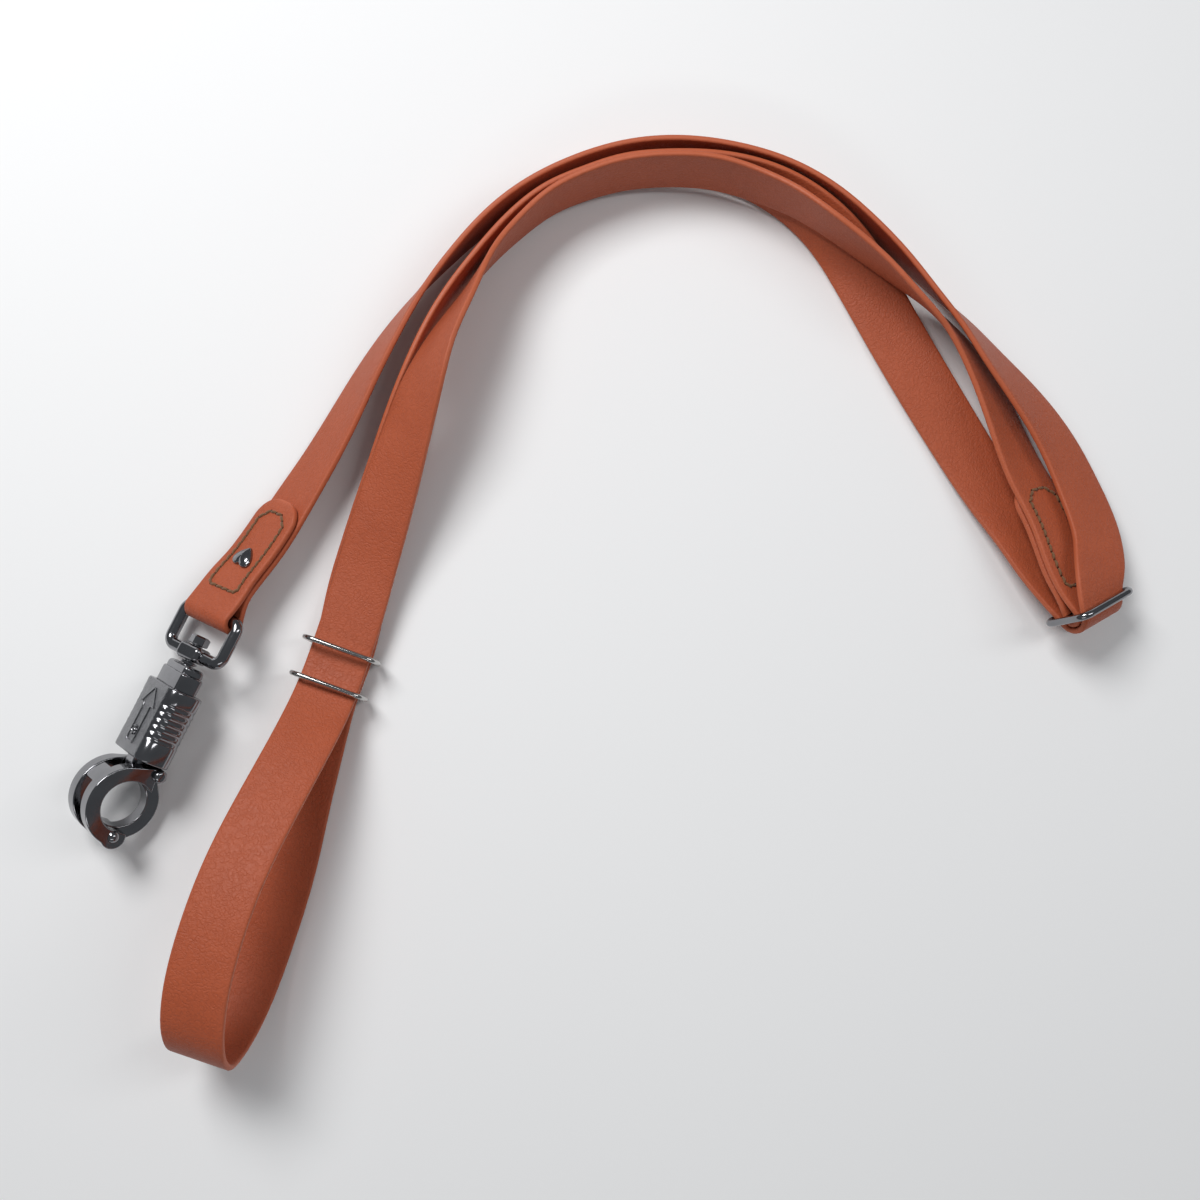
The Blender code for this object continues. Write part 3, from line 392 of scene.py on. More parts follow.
def table_top():
    made = Nodes("pale_table")
    tint = made.noise(3.0, 2.0)
    made.colour(made.mix(tint, (0.84, 0.84, 0.845), (0.86, 0.86, 0.86)))
    made.set(Roughness=0.9, Specular_IOR_Level=0.1)
    return made.material


# ---- mesh tools ----

def unit(vector):
    return vector / np.linalg.norm(vector)


def piece(name, bm, material, body, matrix=None, sharp=40):
    """An object made from bm, placed by matrix, that rides on a body."""
    bmesh.ops.recalc_face_normals(bm, faces=bm.faces)
    mesh = bpy.data.meshes.new(name)
    bm.to_mesh(mesh)
    bm.free()
    mesh.shade_smooth()
    mesh.set_sharp_from_angle(angle=math.radians(sharp))
    mesh.materials.append(material)
    thing = bpy.data.objects.new(name, mesh)
    bpy.context.scene.collection.objects.link(thing)
    if matrix is not None:
        thing.matrix_world = matrix
    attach(thing, body)
    return thing


def rounded(thing, width, segments=3, angle=48):
    bevel = thing.modifiers.new("round_edges", "BEVEL")
    bevel.width = width
    bevel.segments = segments
    bevel.limit_method = "ANGLE"
    bevel.angle_limit = math.radians(angle)
    bevel.harden_normals = True


def merge(target, extra):
    """Adds the mesh of extra to target and frees it."""
    mesh = bpy.data.meshes.new("part")
    bmesh.ops.recalc_face_normals(extra, faces=extra.faces)
    extra.to_mesh(mesh)
    extra.free()
    target.from_mesh(mesh)
    bpy.data.meshes.remove(mesh)


def bar(radius, length, axis, centre=(0, 0, 0), sides=40):
    bm = bmesh.new()
    turn = {"X": Matrix.Rotation(math.pi / 2, 4, "Y"), "Y": Matrix.Rotation(math.pi / 2, 4, "X"),
            "Z": Matrix.Identity(4)}[axis]
    bmesh.ops.create_cone(bm, cap_ends=True, segments=sides, radius1=radius, radius2=radius,
                          depth=length, matrix=Matrix.Translation(centre) @ turn)
    return bm


def block(size, centre=(0, 0, 0)):
    bm = bmesh.new()
    bmesh.ops.create_cube(bm, size=1, matrix=Matrix.Translation(centre) @ Matrix.Diagonal((*size, 1)))
    return bm


def turned(profile, sides):
    """A solid of revolution about X from (x, radius) points; the first and last may lie on the axis."""
    bm = bmesh.new()
    rings = []
    for x, radius in profile:
        if radius < 1e-7:
            rings.append([bm.verts.new((x, 0, 0))])
            continue
        ring = []
        for i in range(sides):
            turn = 2 * math.pi * i / sides
            ring.append(bm.verts.new((x, radius * math.cos(turn), radius * math.sin(turn))))
        rings.append(ring)
    for near, far in zip(rings, rings[1:]):
        bridge(bm, near, far)
    return bm


def bridge(bm, near, far):
    """Faces between two rings of points, or between a ring and a point."""
    count = max(len(near), len(far))
    for i in range(count):
        k = (i + 1) % count
        corners = [near[i % len(near)], near[k % len(near)], far[k % len(far)], far[i % len(far)]]
        unique = list(dict.fromkeys(corners))
        if len(unique) > 2:
            bm.faces.new(unique)


def arc(centre, radius, start, end, steps):
    """Points round an arc, in degrees from the first axis towards the second."""
    points = []
    for i in range(steps + 1):
        turn = math.radians(start + (end - start) * i / steps)
        points.append((centre[0] + radius * math.cos(turn), centre[1] + radius * math.sin(turn)))
    return points


def rounded_rectangle(half_length, half_depth, corner, steps=5):
    """Points round a rectangle with round corners, counter-clockwise."""
    points = []
    for quarter, (sx, sy) in enumerate(((1, 1), (-1, 1), (-1, -1), (1, -1))):
        centre = (sx * (half_length - corner), sy * (half_depth - corner))
        points += arc(centre, corner, 90 * quarter, 90 * quarter + 90, steps)
    return points


def plate(outline, thickness, centre=0.0):
    """An outline of (x, z) points extruded along Y, centred at Y = centre."""
    bm = bmesh.new()
    near = [bm.verts.new((x, centre - thickness / 2, z)) for x, z in outline]
    far = [bm.verts.new((x, centre + thickness / 2, z)) for x, z in outline]
    bridge(bm, near, far)
    bm.faces.new(near)
    bm.faces.new(far)
    return bm


def tube(path, radius, sides=20, closed=True):
    """A round wire along a list of points, closed on itself or with flat ends."""
    points = [Vector(p) for p in path]
    count = len(points)
    bm = bmesh.new()
    rings = []
    side = None
    for i, point in enumerate(points):
        before = points[i - 1] if closed or i > 0 else points[0]
        after = points[(i + 1) % count] if closed or i < count - 1 else points[-1]
        along = (after - before).normalized()
        if side is None:
            side = along.orthogonal()
        side = (side - along * side.dot(along)).normalized()
        other = along.cross(side)
        ring = []
        for k in range(sides):
            turn = 2 * math.pi * k / sides
            ring.append(bm.verts.new(point + (side * math.cos(turn) + other * math.sin(turn)) * radius))
        rings.append(ring)
    for near, far in zip(rings, rings[1:]):
        bridge(bm, near, far)
    if closed:
        last, first = rings[-1], rings[0]
        shift = min(range(sides), key=lambda k: (last[0].co - first[k].co).length)
        bridge(bm, last, first[shift:] + first[:shift])
    else:
        bm.faces.new(rings[0])
        bm.faces.new(rings[-1])
    return bm


# ---- where the moving bodies lie, from the frame's joints ----

def joint(name):
    found = next(item for item in frame["joints"] if item["name"] == name)
    return Vector(found.get("pos_m") or (0, 0, 0)), Vector(found["axis"]).normalized()


def placed(place, along, across):
    """A matrix at place with X along and Y across."""
    matrix = Matrix((along, across, along.cross(across))).transposed().to_4x4()
    matrix.translation = place
    return matrix


def level_across(edge):
    """The level direction that the strap runs in, where edge is the way its marked edge lies."""
    return Vector((-edge.y, edge.x, 0)).normalized()


BAIL_PIVOT, BAIL_EDGE = joint("bail_swing")
SNAP_ALONG = joint("snap_swivel")[1]
HINGE_ACROSS = -joint("jaw_open")[1]
SLIDER_PIVOT, SLIDER_EDGE = joint("slider_tilt")
BAIL_PLACE = placed(BAIL_PIVOT, SNAP_ALONG, BAIL_EDGE)
SNAP_PLACE = placed(BAIL_PIVOT, SNAP_ALONG, HINGE_ACROSS)
SLIDER_PLACE = placed(SLIDER_PIVOT, level_across(SLIDER_EDGE), -SLIDER_EDGE)
BAIL_ENTRY = placed(BAIL_PIVOT, -SNAP_ALONG, -BAIL_EDGE)


# ---- the strap's route ----

def spline(values, pitch):
    """A natural cubic curve through the rows of values, sampled every pitch along the first three."""
    rows = np.array(values, float)
    chord = np.linalg.norm(np.diff(rows[:, :3], axis=0), axis=1)
    knots = np.concatenate([[0], np.cumsum(chord)])
    count = len(rows)
    system = np.eye(count)
    target = np.zeros_like(rows)
    for i in range(1, count - 1):
        system[i, i - 1 : i + 2] = chord[i - 1], 2 * (chord[i - 1] + chord[i]), chord[i]
        slope = (rows[i + 1] - rows[i]) / chord[i] - (rows[i] - rows[i - 1]) / chord[i - 1]
        target[i] = 6 * slope
    bend = np.linalg.solve(system, target)
    wanted = np.linspace(0, knots[-1], max(2, round(knots[-1] / pitch) + 1))
    made = []
    for place in wanted:
        i = min(np.searchsorted(knots, place, side="right") - 1, count - 2)
        step = chord[i]
        a, b = (knots[i + 1] - place) / step, (place - knots[i]) / step
        made.append(a * rows[i] + b * rows[i + 1]
                    + ((a**3 - a) * bend[i] + (b**3 - b) * bend[i + 1]) * step**2 / 6)
    return np.array(made)


def station(point, edge):
    return np.array([*point, *edge], float)


def hand_stations(run):
    """The chosen points as stations: a place in metres and the marked edge's direction."""
    made = []
    for *place, toward, rise in run:
        turn, lift = math.radians(toward), math.radians(rise)
        edge = (math.cos(lift) * math.cos(turn), math.cos(lift) * math.sin(turn), math.sin(lift))
        made.append(station((np.array(place) - MIDDLE) * MM, edge))
    return made


def fold(matrix, radius, start, end):
    """Stations round a bar: the angle turns from the frame's +Z towards its +X."""
    centre, along, across, up = (np.array(matrix.col[i][:3]) for i in (3, 0, 1, 2))
    made = []
    for turn in np.radians(np.linspace(start, end, FOLD_STEPS + 1)):
        made.append(station(centre + radius * (math.cos(turn) * up + math.sin(turn) * along), -across))
    return made


class Route:
    """A line of stations with its tangents, marked edges, normals and lengths along it."""

    def __init__(self, stations):
        rows = np.array(stations)
        self.points = rows[:, :3]
        steps = np.linalg.norm(np.diff(self.points, axis=0), axis=1)
        self.lengths = np.concatenate([[0], np.cumsum(steps)])
        self.tangents = np.array([unit(t) for t in np.gradient(self.points, self.lengths, axis=0)])
        edges = rows[:, 3:] - (rows[:, 3:] * self.tangents).sum(1)[:, None] * self.tangents
        self.edges = np.array([unit(e) for e in edges])
        self.normals = np.cross(self.edges, self.tangents)

    def at(self, length, across=0.0, above=0.0):
        """The place a length along the route, across towards the marked edge, and above the strap."""
        rows = [np.interp(length, self.lengths, table[:, i])
                for table in (self.points, self.edges, self.normals) for i in range(3)]
        point, edge, normal = np.array(rows[0:3]), unit(np.array(rows[3:6])), unit(np.array(rows[6:9]))
        return point + across * edge + above * normal

    def layer(self, length, above):
        """A station of a second layer that lies above this one."""
        edge = [np.interp(length, self.lengths, self.edges[:, i]) for i in range(3)]
        return station(self.at(length, above=above), unit(np.array(edge)))


def closing_in(matrix, distance, above):
    """A station beside a bar, at a distance back along the frame's X and above its axis."""
    centre, along, across, up = (np.array(matrix.col[i][:3]) for i in (3, 0, 1, 2))
    return station(centre + distance * along + above * up, -across)


def strap_route(bail, slider):
    """The whole strap as one route, and the two lengths at which it passes the bail and the slider."""
    layer = STRAP_THICKNESS + LAYER_GAP
    half = layer / 2
    bail_fold = BAIL_WIRE / 2 + CLEARANCE + STRAP_THICKNESS / 2
    inner_fold = SLIDER_WIRE / 2 + CLEARANCE + STRAP_THICKNESS / 2
    outer_fold = inner_fold + layer

    turn_back = fold(slider, outer_fold, SLIDER_ENTRY, 180)
    outer = spline([closing_in(bail, 0, -bail_fold), closing_in(bail, TAB_CLOSES, -half),
                    *hand_stations(OUTER_RUN), turn_back[0]], STATION_PITCH)
    outer_route = Route(outer)
    tab_places = np.linspace(TAB_LENGTH, TAB_LAYER_START, TAB_LAYER_POINTS)
    tab = spline([*(outer_route.layer(place, layer) for place in tab_places),
                  closing_in(bail, TAB_CLOSES, half), closing_in(bail, 0, bail_fold)], STATION_PITCH)
    tab_fold = fold(bail, bail_fold, 0, -180)

    rest = spline([turn_back[-1], *hand_stations(MIDDLE_RUN), *hand_stations(HAND_LOOP),
                   *hand_stations(INNER_RUN), closing_in(slider, -TAB_CLOSES, half),
                   closing_in(slider, 0, inner_fold)], STATION_PITCH)
    rest_route = Route(rest)
    leg_fold = fold(slider, inner_fold, 0, 180)
    leg_places = rest_route.lengths[-1] - np.linspace(TAB_LAYER_START, LEG_LENGTH, TAB_LAYER_POINTS)
    leg = spline([closing_in(slider, 0, -inner_fold), closing_in(slider, -TAB_CLOSES, -half),
                  *(rest_route.layer(place, -layer) for place in leg_places)], STATION_PITCH)

    whole = [*tab, *tab_fold[1:-1], *outer[:-1], *turn_back[:-1], *rest[:-1], *leg_fold[:-1], *leg]
    route = Route(whole)
    at_bail = Route(tab).lengths[-1]
    at_slider = route.lengths[len(whole) - len(leg) - len(leg_fold) + 1]
    return route, at_bail, at_slider


# ---- strap, seams and rivet ----

def end_inset(distance):
    """How far the strap's round end corners take each edge in, at a distance from the end."""
    short = max(0, END_CORNER - distance)
    return END_CORNER - math.sqrt(END_CORNER**2 - short**2)


def strap_profile(half_width, half_thickness):
    """(across, above, edge) round the strap's section: flat faces and round painted edges."""
    corner = min(EDGE_ROUND, half_thickness * 0.8)
    flats = np.linspace(-1, 1, 9)[1:-1] * (half_width - corner)
    made = []
    for sign in (1, -1):
        side = half_width - corner
        for turn in np.linspace(0, 90, 4):
            lean = math.radians(turn)
            made.append((sign * (side + corner * math.cos(lean)),
                         sign * (half_thickness - corner + corner * math.sin(lean)), 1 - turn / 90))
        made += [(sign * x, sign * half_thickness, 0.0) for x in flats[::-1]]
        for turn in np.linspace(90, 180, 4):
            lean = math.radians(turn)
            made.append((sign * (-side + corner * math.cos(lean)),
                         sign * (half_thickness - corner + corner * math.sin(lean)), turn / 90 - 1))
    return made


def strap(route, material):
    """The ribbon, a little thinner and rounder at its two cut ends."""
    total = route.lengths[-1]
    ends = [place * MM for place in END_STEPS]
    places = [*ends, *(x for x in route.lengths if END_CORNER < x < total - END_CORNER),
              *(total - place for place in reversed(ends))]
    bm = bmesh.new()
    edge_layer = bm.verts.layers.float.new("edge")
    rings = []
    for place in places:
        distance = min(place, total - place)
        half_thickness = STRAP_THICKNESS / 2 * min(1, 0.55 + 0.45 * distance / END_THINS)
        half_width = STRAP_WIDTH / 2 - end_inset(distance)
        near_end = max(0.0, 1 - distance / END_PAINT)
        ring = []
        for across, above, edge in strap_profile(half_width, half_thickness):
            vert = bm.verts.new(route.at(place, across, above))
            vert[edge_layer] = max(edge, near_end)
            ring.append(vert)
        rings.append(ring)
    for near, far in zip(rings, rings[1:]):
        bridge(bm, near, far)
    bm.faces.new(rings[0])
    bm.faces.new(rings[-1])
    return piece("leather_strap", bm, material, "leash", sharp=60)


def seam_path(start, end):
    """(along, across) corners of a box with cut corners, small ones at the fold, where it ends."""
    wide, near, far = STRAP_WIDTH / 2 - SEAM_EDGE, SEAM_FOLD_CORNER, SEAM_CORNER
    return [(start + far, -wide), (end - near, -wide), (end, -wide + near), (end, wide - near),
            (end - near, wide), (start + far, wide), (start, wide - far), (start, -wide + far)]


def stitches(name, route, span, depths, material, hole_material):
    """Stitches round a box on both faces of the doubled strap: depths are the two faces' heights.
    Each stitch lies a little aslant, and a flush dark disc of painted shade marks the punched hole between
    two stitches."""
    corners = seam_path(*span)
    bm = bmesh.new()
    holes = bmesh.new()
    for (l0, a0), (l1, a1) in zip(corners, corners[1:] + corners[:1]):
        length = math.hypot(l1 - l0, a1 - a0)
        count = max(1, round(length / STITCH_PITCH))
        ahead, aside = (l1 - l0) / length, (a1 - a0) / length
        for i in range(count):
            for depth in depths:
                outward = math.copysign(1, depth)
                path = []
                for k in range(7):
                    bend = k / 3 - 1
                    run = length * (i + 0.5) / count + bend * STITCH_LENGTH / 2
                    slant = bend * STITCH_SLANT
                    height = depth + outward * THREAD_RADIUS * (0.6 - 1.6 * bend**4)
                    path.append(route.at(l0 + ahead * run - aside * slant,
                                         a0 + aside * run + ahead * slant, height))
                merge(bm, tube(path, THREAD_RADIUS, 8, closed=False))
                run = length * i / count
                place = (l0 + ahead * run, a0 + aside * run)
                # a flush disc of painted shade at each stitch hole
                merge(holes, hole_shade_disc(route, place, depth, outward))
    sewn = piece(name, bm, material, "leash")
    punched = piece(name + "_holes", holes, hole_material, "leash")
    return sewn, punched


def hole_shade_disc(route, place, depth, outward):
    """A flush dark disc of painted shade at the mouth of one punched hole, set in the strap's face."""
    top, bottom = [], []
    bm = bmesh.new()
    for i in range(10):
        turn = 2 * math.pi * i / 10
        along = place[0] + HOLE_RADIUS * math.cos(turn)
        across = place[1] + HOLE_RADIUS * math.sin(turn)
        top.append(bm.verts.new(route.at(along, across, depth + outward * HOLE_PROUD)))
        bottom.append(bm.verts.new(route.at(along, across, depth - outward * HOLE_DEPTH)))
    bridge(bm, top, bottom)
    bm.faces.new(top)
    bm.faces.new(bottom)
    return bm


def heart_outline(width):
    """A heart centred on the post. Its formula is in units of a 32nd of the width."""
    scale = width / 32
    points = []
    for i in range(72):
        turn = 2 * math.pi * i / 72
        across = 12 * math.sin(turn) ** 3 + 3.5 * math.sin(turn)
        along = 13.5 * math.cos(turn) - 3.6 * math.cos(2 * turn) - 1.5 * math.cos(3 * turn)
        points.append((-(along + 2) * scale, across * scale))
    return points


def box_along(outline, start, end):
    """An outline of (y, z) points extruded along X."""
    bm = bmesh.new()
    near = [bm.verts.new((start, y, z)) for y, z in outline]
    far = [bm.verts.new((end, y, z)) for y, z in outline]
    bridge(bm, near, far)
    bm.faces.new(near)
    bm.faces.new(far)
    return bm


def rivet(route, place, chrome):
    """A domed heart with a rolled rim, on the tab's upper face."""
    origin = Vector(route.at(place))
    up = (Vector(route.at(place, above=-1 * MM)) - origin).normalized()
    along = (Vector(route.at(place - 1 * MM)) - Vector(route.at(place + 1 * MM))).normalized()
    matrix = Matrix((along, up.cross(along), up)).transposed().to_4x4()
    matrix.translation = origin
    top = STRAP_THICKNESS / 2
    outline = heart_outline(HEART_WIDTH)
    bm = bmesh.new()
    levels = []
    for height, share in HEART_LEVELS:
        levels.append([bm.verts.new((x * share, y * share, top + HEART_HEIGHT * height))
                       for x, y in outline])
    for near, far in zip(levels, levels[1:]):
        bridge(bm, near, far)
    bm.faces.new(levels[0])
    bm.faces.new(levels[-1])
    depth = 2 * STRAP_THICKNESS + LAYER_GAP
    merge(bm, bar(RIVET_POST / 2, depth, "Z", (0, 0, top + CLEARANCE - depth / 2), 20))
    made = piece("heart_rivet", bm, chrome, "leash", matrix, sharp=70)
    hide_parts("heart_rivet_cap")


# ---- the snap ----

def bail(chrome):
    half = (BAIL_OPENING + BAIL_WIRE) / 2
    loop = [(x + BAIL_DEPTH / 2, y, 0)
            for x, y in rounded_rectangle(BAIL_DEPTH / 2, half, BAIL_CORNER, 10)]
    wire = piece("bail_wire", tube(loop, BAIL_WIRE / 2, 28), chrome, "bail", BAIL_PLACE)
    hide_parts("swivel_bail")
    boss = piece("bail_boss", block(BOSS_SIZE, (BAIL_DEPTH, 0, 0)), chrome, "bail", BAIL_PLACE)
    rounded(boss, 1.7 * MM, 6)


def stem(chrome):
    """A six-sided peened head, the shaft through the boss and the collar on the block."""
    near = BAIL_DEPTH - BOSS_SIZE[0] / 2 - CLEARANCE
    far = BAIL_DEPTH + BOSS_SIZE[0] / 2 + CLEARANCE
    shaft, head, collar = STEM_DIAMETER / 2, STEM_HEAD / 2, STEM_COLLAR / 2
    top = near - STEM_HEAD_HEIGHT
    nut = turned([(top, 0), (top, head * 0.7), (top + 0.5 * MM, head), (near - 0.3 * MM, head),
                  (near, head * 0.9), (near, 0)], 6)
    start, end, seat = near - 0.5 * MM, BLOCK_START + 1 * MM, BLOCK_START - CLEARANCE
    bm = turned([(start, 0), (start, shaft), (far, shaft), (far, collar * 0.9), (far + 0.2 * MM, collar),
                 (seat - 0.2 * MM, collar), (seat, collar * 0.9), (seat, shaft),
                 (end, shaft), (end, 0)], 36)
    made = piece("stem", bm, chrome, "snap", SNAP_PLACE, sharp=30)
    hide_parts("swivel_stem")
    head_piece = piece("stem_head", nut, chrome, "snap", SNAP_PLACE, sharp=30)
    rounded(head_piece, 0.45 * MM, 3, 25)


def eye_point(radius, degrees):
    """A place round the eye: 0 is its far end, 90 is the side that the fixed finger goes round."""
    turn = math.radians(degrees)
    return EYE_PLACE + radius * math.cos(turn), -radius * math.sin(turn)


def eye_arc(radius, start, end, steps):
    return [eye_point(radius, start + (end - start) * i / steps) for i in range(steps + 1)]


def jaw_pivot():
    """The jaw's hinge: a place along the snap and one towards its underside."""
    return SLEEVE_START + SLEEVE_LENGTH + JAW_PIVOT_DROP, -JAW_PIVOT_SIDE


def snap_body(chrome):
    """The stepped block, the shank and the fixed finger."""
    base = box_along(rounded_rectangle(BLOCK_WIDTH / 2, BLOCK_THICKNESS / 2, BLOCK_CORNER, 4),
                     BLOCK_START + BLOCK_NECK, BLOCK_START + BLOCK_LENGTH)
    base = piece("snap_block", base, chrome, "snap", SNAP_PLACE)
    rounded(base, 0.7 * MM, 3)
    crown_outline = rounded_rectangle(BLOCK_WIDTH / 2 - 0.9 * MM, BLOCK_THICKNESS / 2 - 0.4 * MM,
                                      BLOCK_CORNER, 4)
    crown = box_along(crown_outline, BLOCK_START, BLOCK_START + BLOCK_NECK + 1 * MM)
    crown = piece("snap_block_crown", crown, chrome, "snap", SNAP_PLACE)
    rounded(crown, 1.5 * MM, 6)

    shank_near = BLOCK_START + BLOCK_LENGTH - 2 * MM
    shank_far = SLEEVE_START + SLEEVE_LENGTH + 2 * MM
    shank = piece("shank", bar(SHANK_DIAMETER / 2, shank_far - shank_near, "X",
                               ((shank_near + shank_far) / 2, 0, 0)), chrome, "snap", SNAP_PLACE)

    top = SLEEVE_START + SLEEVE_LENGTH + CLEARANCE
    pivot_along, pivot_side = jaw_pivot()
    outline = [(top, SHANK_DIAMETER / 2), *eye_arc(EYE_RADIUS, 200, -18, 60)]
    outline += [eye_point(EYE_RADIUS + EYE_WALL / 2, -22), *eye_arc(EYE_RADIUS + EYE_WALL, -18, 118, 40)]
    outline += arc((pivot_along, pivot_side), JAW_EYE, -70, -180, 12)
    outline += [(top, pivot_side + 1 * MM)]
    finger = piece("fixed_finger", plate(outline, FINGER_WIDTH), chrome, "snap", SNAP_PLACE)
    rounded(finger, 1.5 * MM, 6)
    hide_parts("snap_body")


def smooth(share):
    share = min(1.0, share)
    return share * share * (3 - 2 * share)


def sleeve(chrome):
    """A rounded shell with gripping ribs on its two round sides, open towards the bail."""
    stations = []
    for share in (0, 0.3, 0.65, 1):
        angle = share * math.pi / 2
        stations.append((SLEEVE_START + SLEEVE_ROUND * (1 - math.cos(angle)),
                         SLEEVE_ROUND * (1 - math.sin(angle)), 0))
    for i in range(GRIP_GROOVES):
        middle = SLEEVE_START + GRIP_START + i * GRIP_PITCH
        for step, depth in ((-0.5, 0), (-0.36, 0.35), (-0.2, 0.85), (0, 1), (0.2, 0.85), (0.36, 0.35)):
            stations.append((middle + step * GRIP_PITCH, 0, GRIP_DEPTH * depth))
    stations.append((SLEEVE_START + GRIP_START + (GRIP_GROOVES - 0.5) * GRIP_PITCH, 0, 0))
    end = SLEEVE_START + SLEEVE_LENGTH
    for share in (1, 0.65, 0.3, 0):
        angle = share * math.pi / 2
        stations.append((end - SLEEVE_ROUND * (1 - math.cos(angle)),
                         SLEEVE_ROUND * (1 - math.sin(angle)), 0))

    steps = 10
    bm = bmesh.new()
    cast_layer = bm.verts.layers.float.new("cast")
    half, flat = SLEEVE_WIDTH / 2, SLEEVE_WIDTH / 2 - SLEEVE_CORNER
    rings = []
    for along, inset, groove in stations:
        ring = []
        section = rounded_rectangle(half - inset, SLEEVE_THICKNESS / 2 - inset,
                                    SLEEVE_CORNER - inset, steps)
        for y, z in section:
            share = max(0, abs(y) - flat) / SLEEVE_CORNER
            vert = bm.verts.new((along, y - math.copysign(groove * smooth(1.5 * share), y), z))
            vert[cast_layer] = 1 - min(1, 4 * share)
            ring.append(vert)
        rings.append(ring)
    cavity = rounded_rectangle(BLOCK_WIDTH / 2 + CLEARANCE, BLOCK_THICKNESS / 2 + CLEARANCE, 1 * MM, steps)
    floor = SLEEVE_START + SLEEVE_LENGTH - SLEEVE_FLOOR
    bore = SHANK_DIAMETER / 2 + CLEARANCE
    circle = [(bore * math.cos(turn), bore * math.sin(turn))
              for turn in (math.atan2(z / SLEEVE_THICKNESS, y / SLEEVE_WIDTH) for y, z in cavity)]
    inner = []
    for along, outline in ((end, circle), (floor, circle), (floor, cavity), (SLEEVE_START, cavity)):
        inner.append([bm.verts.new((along, y, z)) for y, z in outline])
    rings += inner
    for near, far in zip(rings, rings[1:] + rings[:1]):
        bridge(bm, near, far)
    shell = piece("sleeve_shell", bm, chrome, "sleeve", SNAP_PLACE, sharp=42)
    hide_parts("release_sleeve")
    marks = piece("sleeve_arrow", arrows(), chrome, "sleeve", SNAP_PLACE)


def arrows():
    """A raised line in the shape of an arrow towards the bail, on both flat faces."""
    tip, neck, tail = SLEEVE_START + 2.2 * MM, SLEEVE_START + 8.2 * MM, SLEEVE_START + 20.8 * MM
    wide, narrow = 5.2 * MM, 2.6 * MM
    corners = [(tip, 0), (neck, wide), (neck, narrow), (tail, narrow), (tail, -narrow), (neck, -narrow),
               (neck, -wide)]
    bm = bmesh.new()
    for face in (1, -1):
        path = []
        for (x0, y0), (x1, y1) in zip(corners, corners[1:] + corners[:1]):
            for share in (0.06, 0.5, 0.94):
                path.append((x0 + (x1 - x0) * share, y0 + (y1 - y0) * share,
                             face * SLEEVE_THICKNESS / 2))
        merge(bm, tube(path, ARROW_LINE, 10))
    return bm


def sleeve_inside(chrome, steel):
    """The cross pin's ringed heads, and the coiled spring between the block and the pin."""
    pin_at = SLEEVE_START + PIN_PLACE
    face, head = SLEEVE_THICKNESS / 2, PIN_HEAD / 2
    rise = PIN_RISE
    half_profile = [(face - 0.2 * MM, head)]
    for height, share in PIN_FACE:
        half_profile.append((face + rise * height, head * share))
    profile = [(-x, radius) for x, radius in reversed(half_profile)]
    profile += [(-face + 0.2 * MM, PIN_DIAMETER / 2), (face - 0.2 * MM, PIN_DIAMETER / 2)] + half_profile
    bm = turned(profile, 32)
    bmesh.ops.rotate(bm, verts=bm.verts, matrix=Matrix.Rotation(math.pi / 2, 3, "Y"))
    pin_place = SNAP_PLACE @ Matrix.Translation((pin_at, 0, 0))
    pin = piece("cross_pin", bm, chrome, "sleeve", pin_place, sharp=50)
    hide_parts("sleeve_pin")

    inner = SHANK_DIAMETER / 2 + CLEARANCE + SPRING_WIRE / 2 + SPRING_PLAY
    start = BLOCK_START + BLOCK_LENGTH + CLEARANCE + SPRING_WIRE / 2
    end = pin_at - PIN_DIAMETER / 2 - 2 * CLEARANCE - WASHER_THICKNESS - SPRING_WIRE / 2
    steps = 32 * SPRING_TURNS
    path = []
    for i in range(steps + 1):
        turn = 2 * math.pi * SPRING_TURNS * i / steps
        path.append(SNAP_PLACE @ Vector((start + (end - start) * i / steps, inner * math.cos(turn),
                                         inner * math.sin(turn))))
    spring = piece("sleeve_spring", tube(path, SPRING_WIRE / 2, 10, closed=False), steel, "snap")
    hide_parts("release_spring")
    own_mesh(spring)


